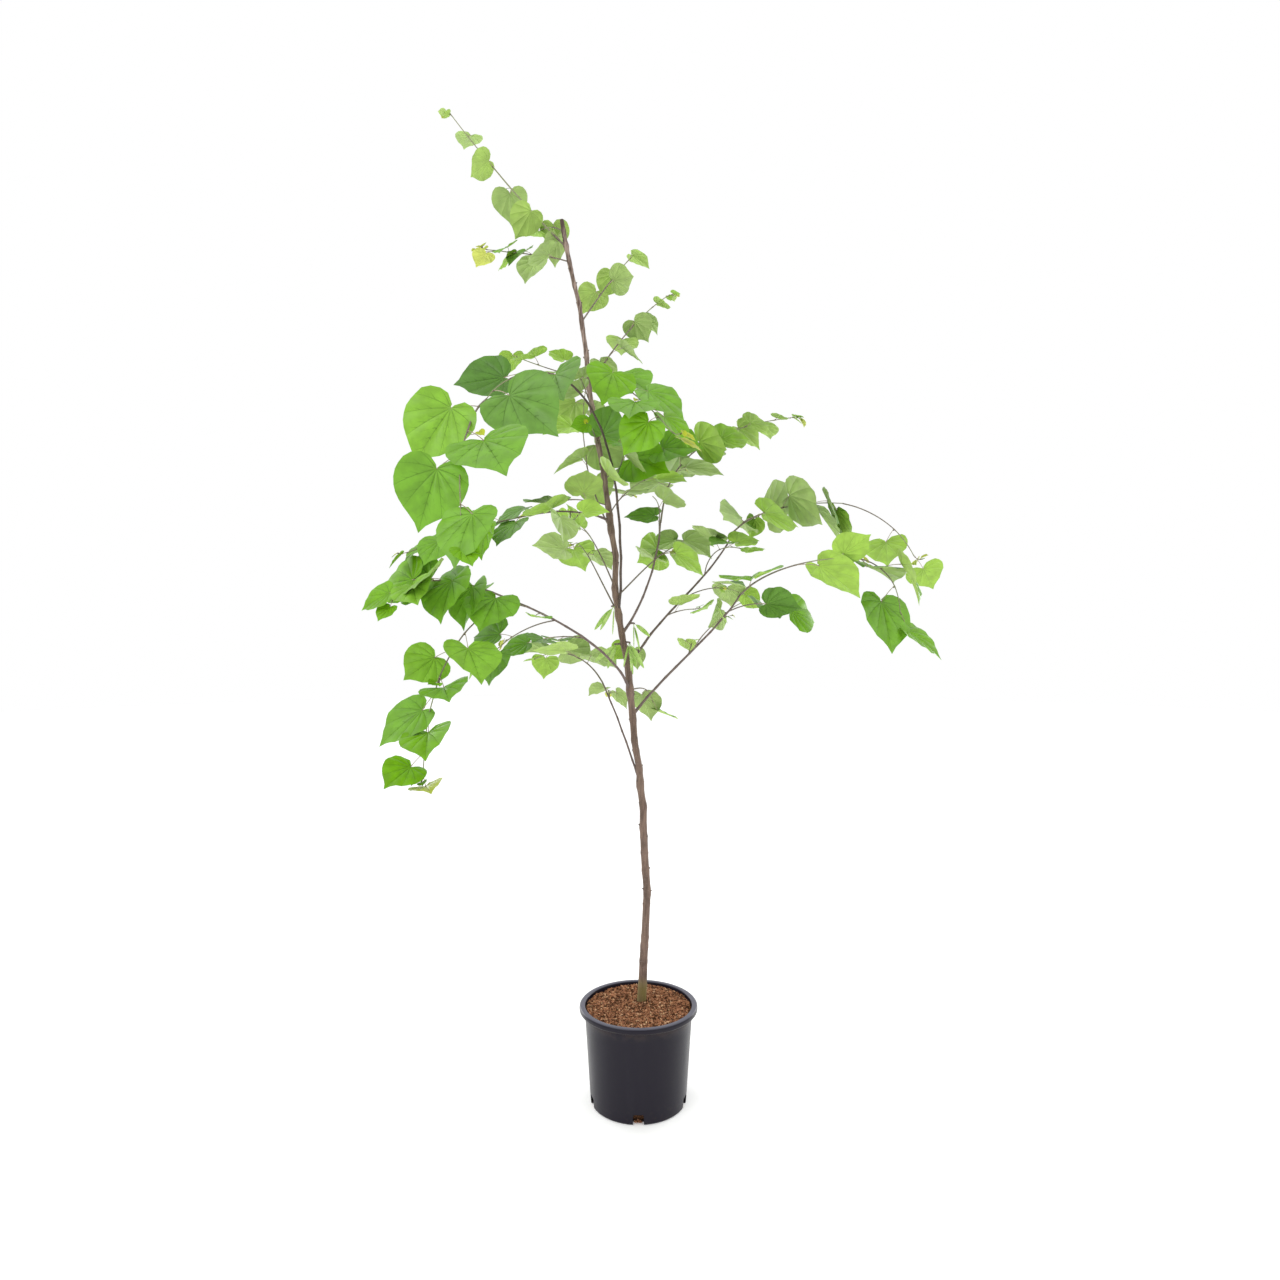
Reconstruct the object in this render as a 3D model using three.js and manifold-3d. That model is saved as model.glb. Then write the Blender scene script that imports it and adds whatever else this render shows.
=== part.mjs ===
// A young redbud tree, standing in a black nursery pot.
//
// Units are millimetres, +Z is up, and the origin is the middle of the pot's flat underside.
// The trunk runs from the soil to a cut stub. Bare boughs leave it, and each carries leafy shoots.
// Every shoot is one solid: a stem, its leaf stalks and its heart-shaped leaves, fused together.
// A shoot is grown by a rule: leaves stand in turn on the two sides of its stem, and numbers drawn
// from the shoot's own seed vary how each one lies. A leaf that would touch another node is left out.

import * as THREE from 'three';
import * as BufferGeometryUtils from 'three/addons/utils/BufferGeometryUtils.js';
import Module from 'manifold-3d';

const wasm = await Module();
wasm.setup();

// ---------------------------------------------------------------- driving dimensions

const GAP = 0.3; // between solids that touch on the real plant
const CLEAR = 3; // a leaf keeps at least this far from other nodes
const SMOOTHING = 0.15; // detail smaller than this, left by joining, is dropped

const pot = {
  height: 223,
  rimRadius: 137.5, // the rolled lip's outside
  lipFoot: 210, // height of the lip's lower edge
  bodyTopRadius: 125.3,
  bodyFootRadius: 111.5,
  footRadius: 107.5, // the flat underside
  footHeight: 5, // the wall is rounded in below this
  collarHeight: 14, // the collar under the lip
  collarOut: 1.2,
  wall: 2.4,
  floor: 3,
  notches: 5, // one of them at the front
  notchWidth: 24,
  notchHeight: 24,
  notchDepth: 12, // how far each notch reaches in from the foot's edge
  segments: 28,
};

const SOIL_TOP = 215.5;

const trunk = {
  bottom: SOIL_TOP + GAP,
  top: 2052, // the cut stub
  foot: [7, 28], // where it stands in the pot
  lean: -187, // from foot to top, along X
  belly: 51.5, // the slow bend to the right
  sway: 8.6,
  waver: 7.2,
  uprightBy: 0.3, // by this part of its height it has come over the middle of the pot
  footGirth: 9.6, // radii
  topGirth: 4.4,
  flare: 4,
  flareHeight: 46,
  sides: 8,
  rings: 26,
};

const leafShape = {
  thickness: 0.024, // of the leaf's length, at its thickest
  fold: 0.16, // how far the two halves rise from the midrib
  bend: 0.12, // how far the tip hangs
  stalk: 0.4, // the stalk's length
  stalkRoot: 1.15, // radii of the stalk, in mm
  stalkEnd: 0.85,
};

// How the leaves of a shoot differ: a middle value and its swing, or the swing alone.
const leafHabit = {
  size: 0.15, // of the leaf's length
  lateness: 4, // how near its tip a shoot's leaves get small
  slip: 0.25, // along the stem, of the way to the next leaf
  opening: [50, 20], // degrees between stalk and stem
  tipOpening: 0.4, // the last leaf's opening, as a part of that
  lift: [15, 35], // degrees that a stalk stands above the stem's side
  stalk: 0.25,
  sag: 0.12, // how far the stalk's end sinks, as a part of its length
  tilt: 0.35, // of the blade's facing
  twist: 0.25, // of the way its tip points
};

const pod = {
  length: 62,
  width: 5.6, // half of it
  thick: 1.2, // half of it
  fan: 26, // degrees from one pod of a bunch to the next
  hang: [-52, 28], // degrees that a pod points up, and its swing
  stub: 24, // the length of the stub that a bunch hangs from
  stubGirths: [2.4, 2],
};

const BOUGH_SIDES = 6;
const TWIG_SIDES = 4;
const TWIG_END = 1.3; // the radius of a shoot's tip
const LIMB_STEP = 32; // a limb bends once in about this length

// ---------------------------------------------------------------- materials

const material = (color, roughness) =>
  new THREE.MeshStandardMaterial({ color, roughness, metalness: 0 });

const materials = {
  pot: material(0x1b1c20, 0.45),
  mix: material(0x5f4030, 0.95),
  bark: material(0x7d6b5e, 0.85),
  leaf: material(0x6fb32c, 0.55),
  pod: material(0x9fcb5e, 0.6),
};

// ---------------------------------------------------------------- solids from geometry

/** A closed three.js geometry as a solid that can be joined and cut. */
function solidFrom(geometry) {
  const plain = geometry.clone();
  plain.deleteAttribute('normal');
  plain.deleteAttribute('uv');
  const merged = BufferGeometryUtils.mergeVertices(plain, 1e-5);
  const faces = [];
  const index = merged.index.array;
  for (let i = 0; i < index.length; i += 3) {
    const [a, b, c] = [index[i], index[i + 1], index[i + 2]];
    if (a !== b && b !== c && c !== a) faces.push(a, b, c);
  }
  const mesh = new wasm.Mesh({
    numProp: 3,
    vertProperties: new Float32Array(merged.attributes.position.array),
    triVerts: new Uint32Array(faces),
  });
  return new wasm.Manifold(mesh);
}

/** The largest connected piece of a solid, as a geometry. */
function geometryFrom(solid) {
  const pieces = solid.asOriginal().simplify(SMOOTHING).decompose();
  pieces.sort((a, b) => b.volume() - a.volume());
  const mesh = pieces[0].getMesh();
  const geometry = new THREE.BufferGeometry();
  geometry.setAttribute('position', new THREE.BufferAttribute(mesh.vertProperties, 3));
  geometry.setIndex(new THREE.BufferAttribute(mesh.triVerts, 1));
  geometry.computeVertexNormals();
  return geometry;
}

const plant = new THREE.Group();

function place(name, solid, finish) {
  const mesh = new THREE.Mesh(geometryFrom(solid), finish);
  mesh.name = name;
  plant.add(mesh);
}

// ---------------------------------------------------------------- the growth rule

const UP = new THREE.Vector3(0, 0, 1);
const radians = THREE.MathUtils.degToRad;
const mix = THREE.MathUtils.lerp;
const vec = (x, y, z) => new THREE.Vector3(x, y, z);
const along = (a, b, t) => a.clone().lerp(b, t);

/** The k-th number of a seed, from -1 to 1. */
function swing(seed, k) {
  const value = Math.sin(seed * 12.9898 + k * 78.233) * 43758.5453;
  return 2 * (value - Math.floor(value)) - 1;
}

/** The trunk's middle at height z. */
function trunkAt(z) {
  const h = (z - trunk.bottom) / (trunk.top - trunk.bottom);
  const turn = Math.PI * h;
  const x = trunk.foot[0] + trunk.lean * h + trunk.belly * Math.sin(turn)
    + trunk.sway * Math.sin(2 * turn) + trunk.waver * Math.sin(3 * turn);
  const y = trunk.foot[1] * Math.max(0, 1 - h / trunk.uprightBy) ** 2;
  return vec(x, y, z);
}

/** The trunk's radius at height z: an even taper, and the root flare. */
function trunkGirth(z) {
  const rise = z - trunk.bottom;
  const h = rise / (trunk.top - trunk.bottom);
  const flare = trunk.flare * Math.exp(-rise / trunk.flareHeight);
  return mix(trunk.footGirth, trunk.topGirth, h) + flare;
}

/** The way a limb points: its compass heading and its rise, both in degrees. */
function pointing(heading, rise) {
  const flat = Math.cos(radians(rise));
  const x = flat * Math.cos(radians(heading));
  const y = flat * Math.sin(radians(heading));
  return vec(x, y, Math.sin(radians(rise)));
}

/**
 * A limb's middle line. It starts on the trunk at a height, or on another limb, and its heading
 * turns evenly while its rise goes over into the tip's rise.
 */
class Limb {
  constructor(row, limbs) {
    Object.assign(this, row);
    const parent = limbs.get(row.on);
    if (parent) {
      const at = row.at ?? 1;
      this.root = parent.point(at);
      this.heading = parent.headingAt(at) + (row.yaw ?? 0);
      this.rise = parent.riseAt(at) + (row.pitch ?? 0);
    } else {
      this.root = trunkAt(row.on);
      this.heading = row.yaw;
      this.rise = row.rise;
    }
    this.steps = Math.max(6, Math.round(row.length / LIMB_STEP));
    this.line = [this.root];
    for (let i = 0; i < this.steps; i += 1) {
      const way = this.way((i + 0.5) / this.steps).multiplyScalar(row.length / this.steps);
      this.line.push(this.line[i].clone().add(way));
    }
  }

  headingAt(u) {
    return this.heading + this.turn * u;
  }

  riseAt(u) {
    return mix(this.rise, this.tip, u ** this.ease);
  }

  way(u) {
    return pointing(this.headingAt(u), this.riseAt(u));
  }

  girth(u) {
    return mix(this.girths[0], this.girths[1], u);
  }

  point(u) {
    const k = Math.min(u * this.steps, this.steps - 1e-9);
    const i = Math.floor(k);
    return along(this.line[i], this.line[i + 1], k - i);
  }
}

/** The leaves of a shoot, in turn on its two sides from its bare foot to its tip. */
function leavesOf(shoot) {
  const leaves = [];
  for (let i = 0; i < shoot.leaves; i += 1) {
    const [grow, open, roll, reach, tilt, slip] =
      [0, 1, 2, 3, 4, 5].map((k) => swing(shoot.seed, 6 * i + k));
    const last = i === shoot.leaves - 1;
    const order = i / (shoot.leaves - 1);
    const slipped = order + (leafHabit.slip / shoot.leaves) * slip;
    const step = last ? order : THREE.MathUtils.clamp(slipped, 0, 1);
    const u = mix(shoot.bare, shoot.upTo, step);
    const node = shoot.point(u);
    const way = shoot.way(u);
    const heading = radians(shoot.headingAt(u));
    const side = vec(Math.sin(heading), -Math.cos(heading), 0);
    const over = side.clone().cross(way);
    const youth = 1 - (1 - shoot.small) * order ** leafHabit.lateness;
    const size = shoot.size * youth * (1 + leafHabit.size * grow);

    const opening = leafHabit.opening[0] + leafHabit.opening[1] * open;
    const spread = radians(opening) * (u === 1 ? leafHabit.tipOpening : 1);
    const lift = radians(leafHabit.lift[0] + leafHabit.lift[1] * roll);
    const hand = shoot.first * (i % 2 ? -1 : 1);
    const across = side.clone().multiplyScalar(hand * Math.cos(lift));
    across.addScaledVector(over, Math.sin(lift));
    const stalkWay = way.clone().multiplyScalar(Math.cos(spread));
    stalkWay.addScaledVector(across, Math.sin(spread));
    const stalk = leafShape.stalk * size * (1 + leafHabit.stalk * reach);
    const base = node.clone().addScaledVector(stalkWay, stalk);
    base.addScaledVector(UP, -leafHabit.sag * stalk);

    const outward = base.clone().sub(trunkAt(base.z)).setZ(0).normalize();
    if (shoot.look !== undefined) outward.copy(pointing(shoot.look, 0));
    const normal = outward.multiplyScalar(shoot.face).addScaledVector(UP, 1 - shoot.face);
    normal.addScaledVector(vec(reach, tilt, slip), leafHabit.tilt).normalize();
    const axis = stalkWay.clone().multiplyScalar(1 - shoot.droop);
    axis.addScaledVector(UP, -shoot.droop).addScaledVector(vec(tilt, grow, 0), leafHabit.twist);
    axis.addScaledVector(normal, -axis.dot(normal)).normalize();
    leaves.push({ node, base, axis, normal, size });
  }
  return leaves;
}

/** A point of a leaf: x runs from its stalk to its tip, y across it, both in leaf lengths. */
function leafPoint(leaf, x, y, lift = 0) {
  const across = leaf.normal.clone().cross(leaf.axis);
  const rise = leafShape.fold * Math.abs(y) - leafShape.bend * x * x + lift;
  return leaf.base.clone()
    .addScaledVector(leaf.axis, leaf.size * x)
    .addScaledVector(across, leaf.size * y)
    .addScaledVector(leaf.normal, leaf.size * rise);
}

// ---------------------------------------------------------------- keeping clear

const LEAF_MIDDLE = 0.42; // of its length, from its stalk
const DISC_RADIUS = 0.56; // of the round disc that holds a leaf

const rimSpots = [
  [1, 0],
  [0.62, 0.42],
  [0.25, 0.54],
  [-0.13, 0.34],
  [0, 0],
  [-0.13, -0.34],
  [0.25, -0.54],
  [0.62, -0.42],
];

/** A leaf as a round disc and eight points of its rim. */
function discOf(leaf) {
  const centre = leaf.base.clone().addScaledVector(leaf.axis, LEAF_MIDDLE * leaf.size);
  const rim = rimSpots.map(([x, y]) => leafPoint(leaf, x, y));
  return { centre, normal: leaf.normal, radius: DISC_RADIUS * leaf.size, rim, leaf };
}

function pointToDisc(point, disc) {
  const away = point.clone().sub(disc.centre);
  const height = away.dot(disc.normal);
  const flat = Math.sqrt(Math.max(0, away.lengthSq() - height * height));
  return Math.hypot(height, Math.max(0, flat - disc.radius));
}

function pointToSegment(point, a, b) {
  const line = new THREE.Line3(a, b);
  return line.closestPointToPoint(point, true, vec(0, 0, 0)).distanceTo(point);
}

function segmentCrosses(a, b, disc, spare) {
  const heightA = a.clone().sub(disc.centre).dot(disc.normal);
  const heightB = b.clone().sub(disc.centre).dot(disc.normal);
  if (heightA * heightB > 0) return false;
  const t = heightA === heightB ? 0.5 : heightA / (heightA - heightB);
  return along(a, b, t).distanceTo(disc.centre) < disc.radius + spare;
}

/** Whether two discs cross: their planes' common line has a stretch inside both. */
function discsCross(one, two) {
  const line = one.normal.clone().cross(two.normal);
  if (line.length() < 1e-6) return false;
  line.normalize();
  const height = two.centre.clone().sub(one.centre).dot(two.normal);
  const across = one.normal.clone().cross(line);
  const spot = one.centre.clone().addScaledVector(across, height / across.dot(two.normal));
  const chords = [one, two].map((disc) => {
    const to = disc.centre.clone().sub(spot);
    const t = to.dot(line);
    return { t, left: disc.radius ** 2 - to.addScaledVector(line, -t).lengthSq() };
  });
  if (chords.some((chord) => chord.left <= 0)) return false;
  const reach = Math.sqrt(chords[0].left) + Math.sqrt(chords[1].left);
  return Math.abs(chords[0].t - chords[1].t) < reach;
}

/** What the plant already fills: limbs as thick segments, and leaves as discs. */
class Space {
  segments = [];

  discs = [];

  addLimb(owner, line, girths) {
    for (let i = 0; i + 1 < line.length; i += 1) {
      const girth = Math.max(girths[i], girths[i + 1]);
      this.segments.push({ owner, a: line[i], b: line[i + 1], girth });
    }
  }

  touches(owner, leaf) {
    const disc = discOf(leaf);
    const stalkSpots = [0.35, 0.7, 1].map((t) => along(leaf.node, leaf.base, t));
    const nearLimb = this.segments.some(({ owner: other, a, b, girth }) => {
      if (other === owner) return false;
      const keep = girth + CLEAR;
      return segmentCrosses(a, b, disc, keep)
        || pointToDisc(a, disc) < keep
        || pointToDisc(b, disc) < keep
        || disc.rim.some((spot) => pointToSegment(spot, a, b) < keep)
        || stalkSpots.some((spot) => pointToSegment(spot, a, b) < keep + 1);
    });
    return nearLimb || this.discs.some((other) => {
      if (other.owner === owner) return false;
      return discsCross(disc, other)
        || disc.rim.some((spot) => pointToDisc(spot, other) < CLEAR)
        || other.rim.some((spot) => pointToDisc(spot, disc) < CLEAR)
        || segmentCrosses(leaf.node, leaf.base, other, CLEAR)
        || segmentCrosses(other.leaf.node, other.leaf.base, disc, CLEAR);
    });
  }

  addLeaf(owner, leaf) {
    this.discs.push({ owner, ...discOf(leaf) });
  }
}

// ---------------------------------------------------------------- shapes

/**
 * A round bar whose middle line bends: a unit cylinder, each of whose rings is moved to its
 * place on the line. spot(u) gives the middle, the way along, the side and the radius.
 */
function bentBar(spot, sides, rings) {
  const geometry = new THREE.CylinderGeometry(1, 1, 1, sides, rings);
  const position = geometry.attributes.position;
  for (let i = 0; i < position.count; i += 1) {
    const { middle, way, side, girth } = spot(position.getY(i) + 0.5);
    const over = side.clone().cross(way);
    const place = middle.clone()
      .addScaledVector(side, girth * position.getX(i))
      .addScaledVector(over, girth * position.getZ(i));
    position.setXYZ(i, place.x, place.y, place.z);
  }
  return solidFrom(geometry);
}

function trunkSolid(spare) {
  return bentBar((u) => {
    const z = mix(trunk.bottom, trunk.top, u);
    return { middle: trunkAt(z), way: UP, side: vec(1, 0, 0), girth: trunkGirth(z) + spare };
  }, trunk.sides, trunk.rings);
}

function limbSolid(limb, sides, spare = 0) {
  return bentBar((u) => {
    const heading = radians(limb.headingAt(u));
    const side = vec(Math.sin(heading), -Math.cos(heading), 0);
    const way = limb.way(u);
    const middle = limb.point(u);
    if (u === 1) middle.addScaledVector(way, spare);
    return { middle, way, side, girth: limb.girth(u) + spare };
  }, sides, limb.steps);
}

/** Half the outline of a heart leaf, from the notch at its stalk to its tip. */
const lobe = new THREE.CubicBezierCurve(
  new THREE.Vector2(0, 0),
  new THREE.Vector2(-0.32, 0.1),
  new THREE.Vector2(-0.2, 0.58),
  new THREE.Vector2(0.25, 0.56),
);
const flank = new THREE.CubicBezierCurve(
  new THREE.Vector2(0.25, 0.56),
  new THREE.Vector2(0.68, 0.54),
  new THREE.Vector2(0.82, 0.14),
  new THREE.Vector2(1, 0),
);
const halfOutline = [...lobe.getPoints(3), ...flank.getPoints(2).slice(1)];
const rightHalf = halfOutline.slice(1).map(({ x, y }) => [x, -y]);
const leftHalf = halfOutline.slice(1, -1).reverse().map(({ x, y }) => [x, y]);

/** The three corners of a stalk at a spot: left, right and under. */
function stalkCorners(spot, way, across, girth) {
  const side = across.clone().addScaledVector(way, -across.dot(way)).normalize();
  const over = way.clone().cross(side);
  return [[0.87, 0.5], [-0.87, 0.5], [0, -1]].map(([sideways, up]) => (
    spot.clone().addScaledVector(side, sideways * girth).addScaledVector(over, up * girth)
  ));
}

/**
 * A leaf on its stalk as one closed body. The blade is a thin lens, a fan of faces above and one
 * below its middle, and its rim opens at the notch into the three sides of the stalk.
 */
function leafSolid(leaf) {
  const stalkWay = leaf.base.clone().sub(leaf.node).normalize();
  const joint = stalkWay.clone().add(leaf.axis).normalize();
  const across = leaf.normal.clone().cross(joint).normalize();
  const root = stalkCorners(leaf.node, stalkWay, across, leafShape.stalkRoot);
  const neck = stalkCorners(leaf.base, joint, across, leafShape.stalkEnd);
  const [left, right, under] = neck;
  const blade = [...rightHalf, ...leftHalf].map(([x, y]) => leafPoint(leaf, x, y));
  const rim = [right, ...blade, left];
  const above = leafPoint(leaf, LEAF_MIDDLE, 0, leafShape.thickness / 2);
  const below = leafPoint(leaf, LEAF_MIDDLE, 0, -leafShape.thickness / 2);
  const corners = [above, left, right, below, under, left, below, right, under];
  for (let i = 0; i + 1 < rim.length; i += 1) {
    corners.push(above, rim[i], rim[i + 1], below, rim[i + 1], rim[i]);
  }
  const [rootLeft, rootRight, rootUnder] = root;
  corners.push(rootLeft, rootRight, right, rootLeft, right, left);
  corners.push(rootLeft, left, under, rootLeft, under, rootUnder);
  corners.push(rootRight, rootUnder, under, rootRight, under, right);
  corners.push(rootRight, rootLeft, rootUnder);
  return solidFrom(new THREE.BufferGeometry().setFromPoints(corners));
}

/** A flat seed pod: a narrow lens from its stalk to its tip. */
function podSolid({ base, axis, normal, length }) {
  const geometry = new THREE.SphereGeometry(1, 4, 4);
  const position = geometry.attributes.position;
  const across = axis.clone().cross(normal);
  for (let i = 0; i < position.count; i += 1) {
    const spot = base.clone()
      .addScaledVector(axis, length * (0.5 + 0.5 * position.getY(i)))
      .addScaledVector(across, pod.width * position.getX(i))
      .addScaledVector(normal, pod.thick * position.getZ(i));
    position.setXYZ(i, spot.x, spot.y, spot.z);
  }
  return solidFrom(geometry);
}

// ---------------------------------------------------------------- what grows where

// Each limb grows on a height of the trunk, or on a named limb at a part of its length (at: 1 is
// its tip). Yaw 0 heads along +X and yaw 90 along +Y, to the back. On a limb, yaw and pitch are
// added to that limb's own heading and rise. Angles are in degrees and girths are radii.

const limbs = new Map();

function bough(name, girths, row) {
  limbs.set(name, new Limb({ name, girths, ...row }, limbs));
}

function shoot(name, girth, row, foliage) {
  const habit = { bare: 0.05, upTo: 1, small: 0.5, face: 0.5, droop: 0.4, first: 1 };
  const girths = [girth, TWIG_END];
  limbs.set(name, new Limb({ name, girths, ...row, ...habit, ...foliage }, limbs));
}

bough('left_bough', [4.4, 2.4], {
  on: 953, yaw: -120, rise: 60, turn: -46, tip: 22, ease: 0.4, length: 371,
});
bough('right_bough', [4.6, 2.4], {
  on: 993, yaw: 69, rise: 45, turn: -111, tip: 59, ease: 4, length: 460,
});
bough('low_right_bough', [4.6, 2.4], {
  on: 895, yaw: 42, rise: 45, turn: -97, tip: 45, ease: 1, length: 397,
});
bough('upper_right_bough', [4, 2.4], {
  on: 1084, yaw: -11, rise: 49, turn: 82, tip: 76, ease: 0.4, length: 287,
});
bough('mid_left_bough', [3, 2.2], {
  on: 1348, yaw: -157, rise: 34, turn: 11, tip: -5, ease: 0.4, length: 129,
});
bough('low_left_bough', [3.4, 2.2], {
  on: 736, yaw: 178, rise: 70, turn: -46, tip: 55, ease: 2.6, length: 231,
});
bough('arch_bough', [4.6, 2.6], {
  on: 1135, yaw: -79, rise: 76, turn: -66, tip: 22, ease: 3.3, length: 562,
});

shoot('left_spray', 2.4, { on: 'left_bough', turn: 30, tip: -49, ease: 2.1, length: 275 }, {
  leaves: 11, bare: 0.08, size: 106, small: 0.35,
  face: 0.4, droop: 0.25, look: -120, seed: 676, first: -1,
});
shoot('upper_right_spray', 2.4, {
  on: 'upper_right_bough', turn: -98, tip: -1, ease: 0.95, length: 488,
}, {
  leaves: 11, bare: 0.2, size: 96, small: 0.25, face: 0.35, droop: 0.45, seed: 574, first: -1,
});
shoot('mid_left_spray', 2.2, { on: 'mid_left_bough', turn: -7, tip: -24, ease: 0.46, length: 358 }, {
  leaves: 9, bare: 0.04, size: 88, small: 0.4, face: 0.35, droop: 0.75, seed: 902, first: -1,
});
shoot('low_left_spray', 2.2, { on: 'low_left_bough', turn: 25, tip: -25, ease: 1.2, length: 260 }, {
  leaves: 6, bare: 0.34, size: 88, small: 0.3, face: 0.25, droop: 0.2, look: 110, seed: 85,
});
shoot('arch_spray', 2.6, { on: 'arch_bough', turn: 34, tip: -46, ease: 0.5, length: 237 }, {
  leaves: 3, bare: 0.04, upTo: 0.86, size: 118, small: 1,
  face: 0.5, droop: 0.1, look: -120, seed: 722, first: -1,
});
shoot('arch_fall', 2.1, {
  on: 'arch_spray', yaw: 5, pitch: 16, turn: 39, tip: -60, ease: 0.57, length: 397,
}, {
  leaves: 5, bare: 0.1, size: 116, small: 0.35, face: 0.6, droop: 0.7, look: -110, seed: 93,
});
shoot('left_inner_spray', 1.6, {
  on: 'left_bough', at: 0.8, yaw: 50, pitch: -10, turn: 10, tip: -20, ease: 1, length: 70,
}, {
  leaves: 2, bare: 0.12, size: 80, small: 0.65, face: 0.2, droop: 0.5, look: -50, seed: 748,
});
shoot('right_inner_spray', 1.6, {
  on: 'right_bough', at: 0.42, yaw: -40, pitch: -20, turn: 10, tip: 0, ease: 1, length: 70,
}, {
  leaves: 2, bare: 0.32, size: 76, small: 0.75, face: 0.3, droop: 0.7, look: -160, seed: 759,
});
shoot('low_right_inner_spray', 1.8, {
  on: 'low_right_bough', at: 0.55, yaw: -50, turn: 20, tip: 30, ease: 1, length: 110,
}, {
  leaves: 2, bare: 0.3, size: 74, small: 0.45,
  face: 0.35, droop: 0.2, look: -30, seed: 634, first: -1,
});
shoot('front_spray', 2.6, {
  on: 1691, yaw: -65, rise: -8, turn: 13, tip: -43, ease: 0.54, length: 414,
}, {
  leaves: 8, bare: 0.14, size: 102, small: 0.5, face: 0.5, droop: 0.55, look: -80, seed: 700,
});
shoot('leader_spray', 2.6, {
  on: 1988, yaw: -172, rise: 37, turn: -6, tip: 52, ease: 0.4, length: 394,
}, {
  leaves: 6, bare: 0.06, size: 70, small: 0.3, face: 0.45, droop: 0.65, look: 140, seed: 643,
});
shoot('upper_left_spray', 1.8, {
  on: 1953, yaw: 170, rise: 36, turn: 57, tip: -14, ease: 0.4, length: 203,
}, {
  leaves: 8, bare: 0.04, size: 66, small: 0.3, face: 0.3, droop: 0.45, seed: 385,
});
shoot('upper_right_twig', 2.2, {
  on: 1813, yaw: 40, rise: 54, turn: 12, tip: 44, ease: 1.7, length: 285,
}, {
  leaves: 6, bare: 0.14, size: 66, small: 0.3, face: 0.4, droop: 0.35, seed: 966,
});
shoot('mid_right_twig', 2.2, {
  on: 1666, yaw: 25, rise: 59, turn: 3, tip: 38, ease: 1.45, length: 317,
}, {
  leaves: 7, bare: 0.16, size: 70, small: 0.2,
  face: 0.3, droop: 0.75, look: 60, seed: 945, first: -1,
});
shoot('back_left_spray', 2.2, {
  on: 1327, yaw: 146, rise: 57, turn: -71, tip: 71, ease: 0.7, length: 423,
}, {
  leaves: 8, bare: 0.18, size: 84, small: 0.7, face: 0.4, droop: 0.6, seed: 206, first: -1,
});
shoot('left_near_spray', 2.2, {
  on: 1189, yaw: 171, rise: 63, turn: -30, tip: 13, ease: 4, length: 211,
}, {
  leaves: 3, bare: 0.38, size: 70, small: 0.75, face: 0.65, droop: 0.1, look: 60, seed: 364,
});
shoot('left_back_spray', 2.2, {
  on: 1126, yaw: 164, rise: 58, turn: -56, tip: -15, ease: 4, length: 278,
}, {
  leaves: 3, bare: 0.62, size: 84, small: 0.95, face: 0.25, droop: 0.05, look: 90, seed: 519,
});
shoot('right_near_spray', 2.2, {
  on: 1170, yaw: 27, rise: 46, turn: 36, tip: -2, ease: 1.7, length: 313,
}, {
  leaves: 8, bare: 0.34, size: 80, small: 0.65, face: 0.45, droop: 0.35, seed: 343,
});
shoot('low_back_spray', 1.8, { on: 953, yaw: 56, rise: 8, turn: 8, tip: -59, ease: 1.7, length: 116 }, {
  leaves: 3, bare: 0.26, size: 78, small: 0.8, face: 0.3, droop: 0.8, seed: 359,
});
shoot('right_low_twig', 1.6, {
  on: 'right_bough', at: 0.16, yaw: 85, pitch: -40, turn: -30, tip: 15, ease: 1, length: 60,
}, {
  leaves: 2, bare: 0.46, size: 56, small: 0.95, face: 0.9, droop: 0.5, seed: 381,
});
shoot('right_mid_twig', 1.6, {
  on: 'right_bough', at: 0.72, yaw: -70, turn: 30, tip: -15, ease: 1, length: 180,
}, {
  leaves: 4, bare: 0.6, size: 74, small: 0.75, face: 0.15, droop: 0.1, look: 100, seed: 223,
});
shoot('low_right_low_twig', 1.6, {
  on: 'low_right_bough', at: 0.5, yaw: 80, turn: 5, tip: 15, ease: 1, length: 70,
}, {
  leaves: 2, bare: 0.52, size: 44, small: 0.7,
  face: 0.25, droop: 0.7, look: 50, seed: 757, first: -1,
});
shoot('low_right_tip_twig', 1.6, {
  on: 'low_right_bough', at: 0.86, yaw: 60, pitch: -20, turn: 20, tip: -15, ease: 1, length: 150,
}, {
  leaves: 3, bare: 0.52, size: 88, small: 0.95, face: 0.45, droop: 0.15, look: -60, seed: 541,
});
shoot('upper_right_mid_twig', 1.6, {
  on: 'upper_right_bough', at: 0.88, yaw: -140, pitch: 10, turn: -40, tip: 10, ease: 1, length: 120,
}, {
  leaves: 3, bare: 0.26, size: 76, small: 0.7, face: 0.25, droop: 0.4, look: -20, seed: 56,
});
shoot('trunk_left_high_twig', 1.6, {
  on: 1520, yaw: 245, rise: 50, turn: 15, tip: 10, ease: 1, length: 70,
}, {
  leaves: 2, bare: 0.22, size: 88, small: 0.55,
  face: 1, droop: 0.1, look: -80, seed: 365, first: -1,
});
shoot('crown_twig', 1.6, { on: 1588, yaw: -105, rise: 40, turn: -10, tip: 25, ease: 1, length: 160 }, {
  leaves: 3, bare: 0.4, size: 68, small: 0.65, face: 0.1, droop: 0.05, look: -150, seed: 331,
});
shoot('left_mid_twig', 1.6, {
  on: 'left_bough', at: 0.52, yaw: -45, pitch: -20, turn: 20, tip: -15, ease: 1, length: 100,
}, {
  leaves: 3, bare: 0.46, size: 68, small: 0.95, face: 0.35, droop: 0.3, look: -130, seed: 426,
});
shoot('left_low_twig', 1.6, {
  on: 'left_bough', at: 0.74, yaw: 0, pitch: -35, turn: -10, tip: -45, ease: 1, length: 150,
}, {
  leaves: 3, bare: 0.66, size: 76, small: 0.85, face: 0.55, droop: 0.1, seed: 588,
});
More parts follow.
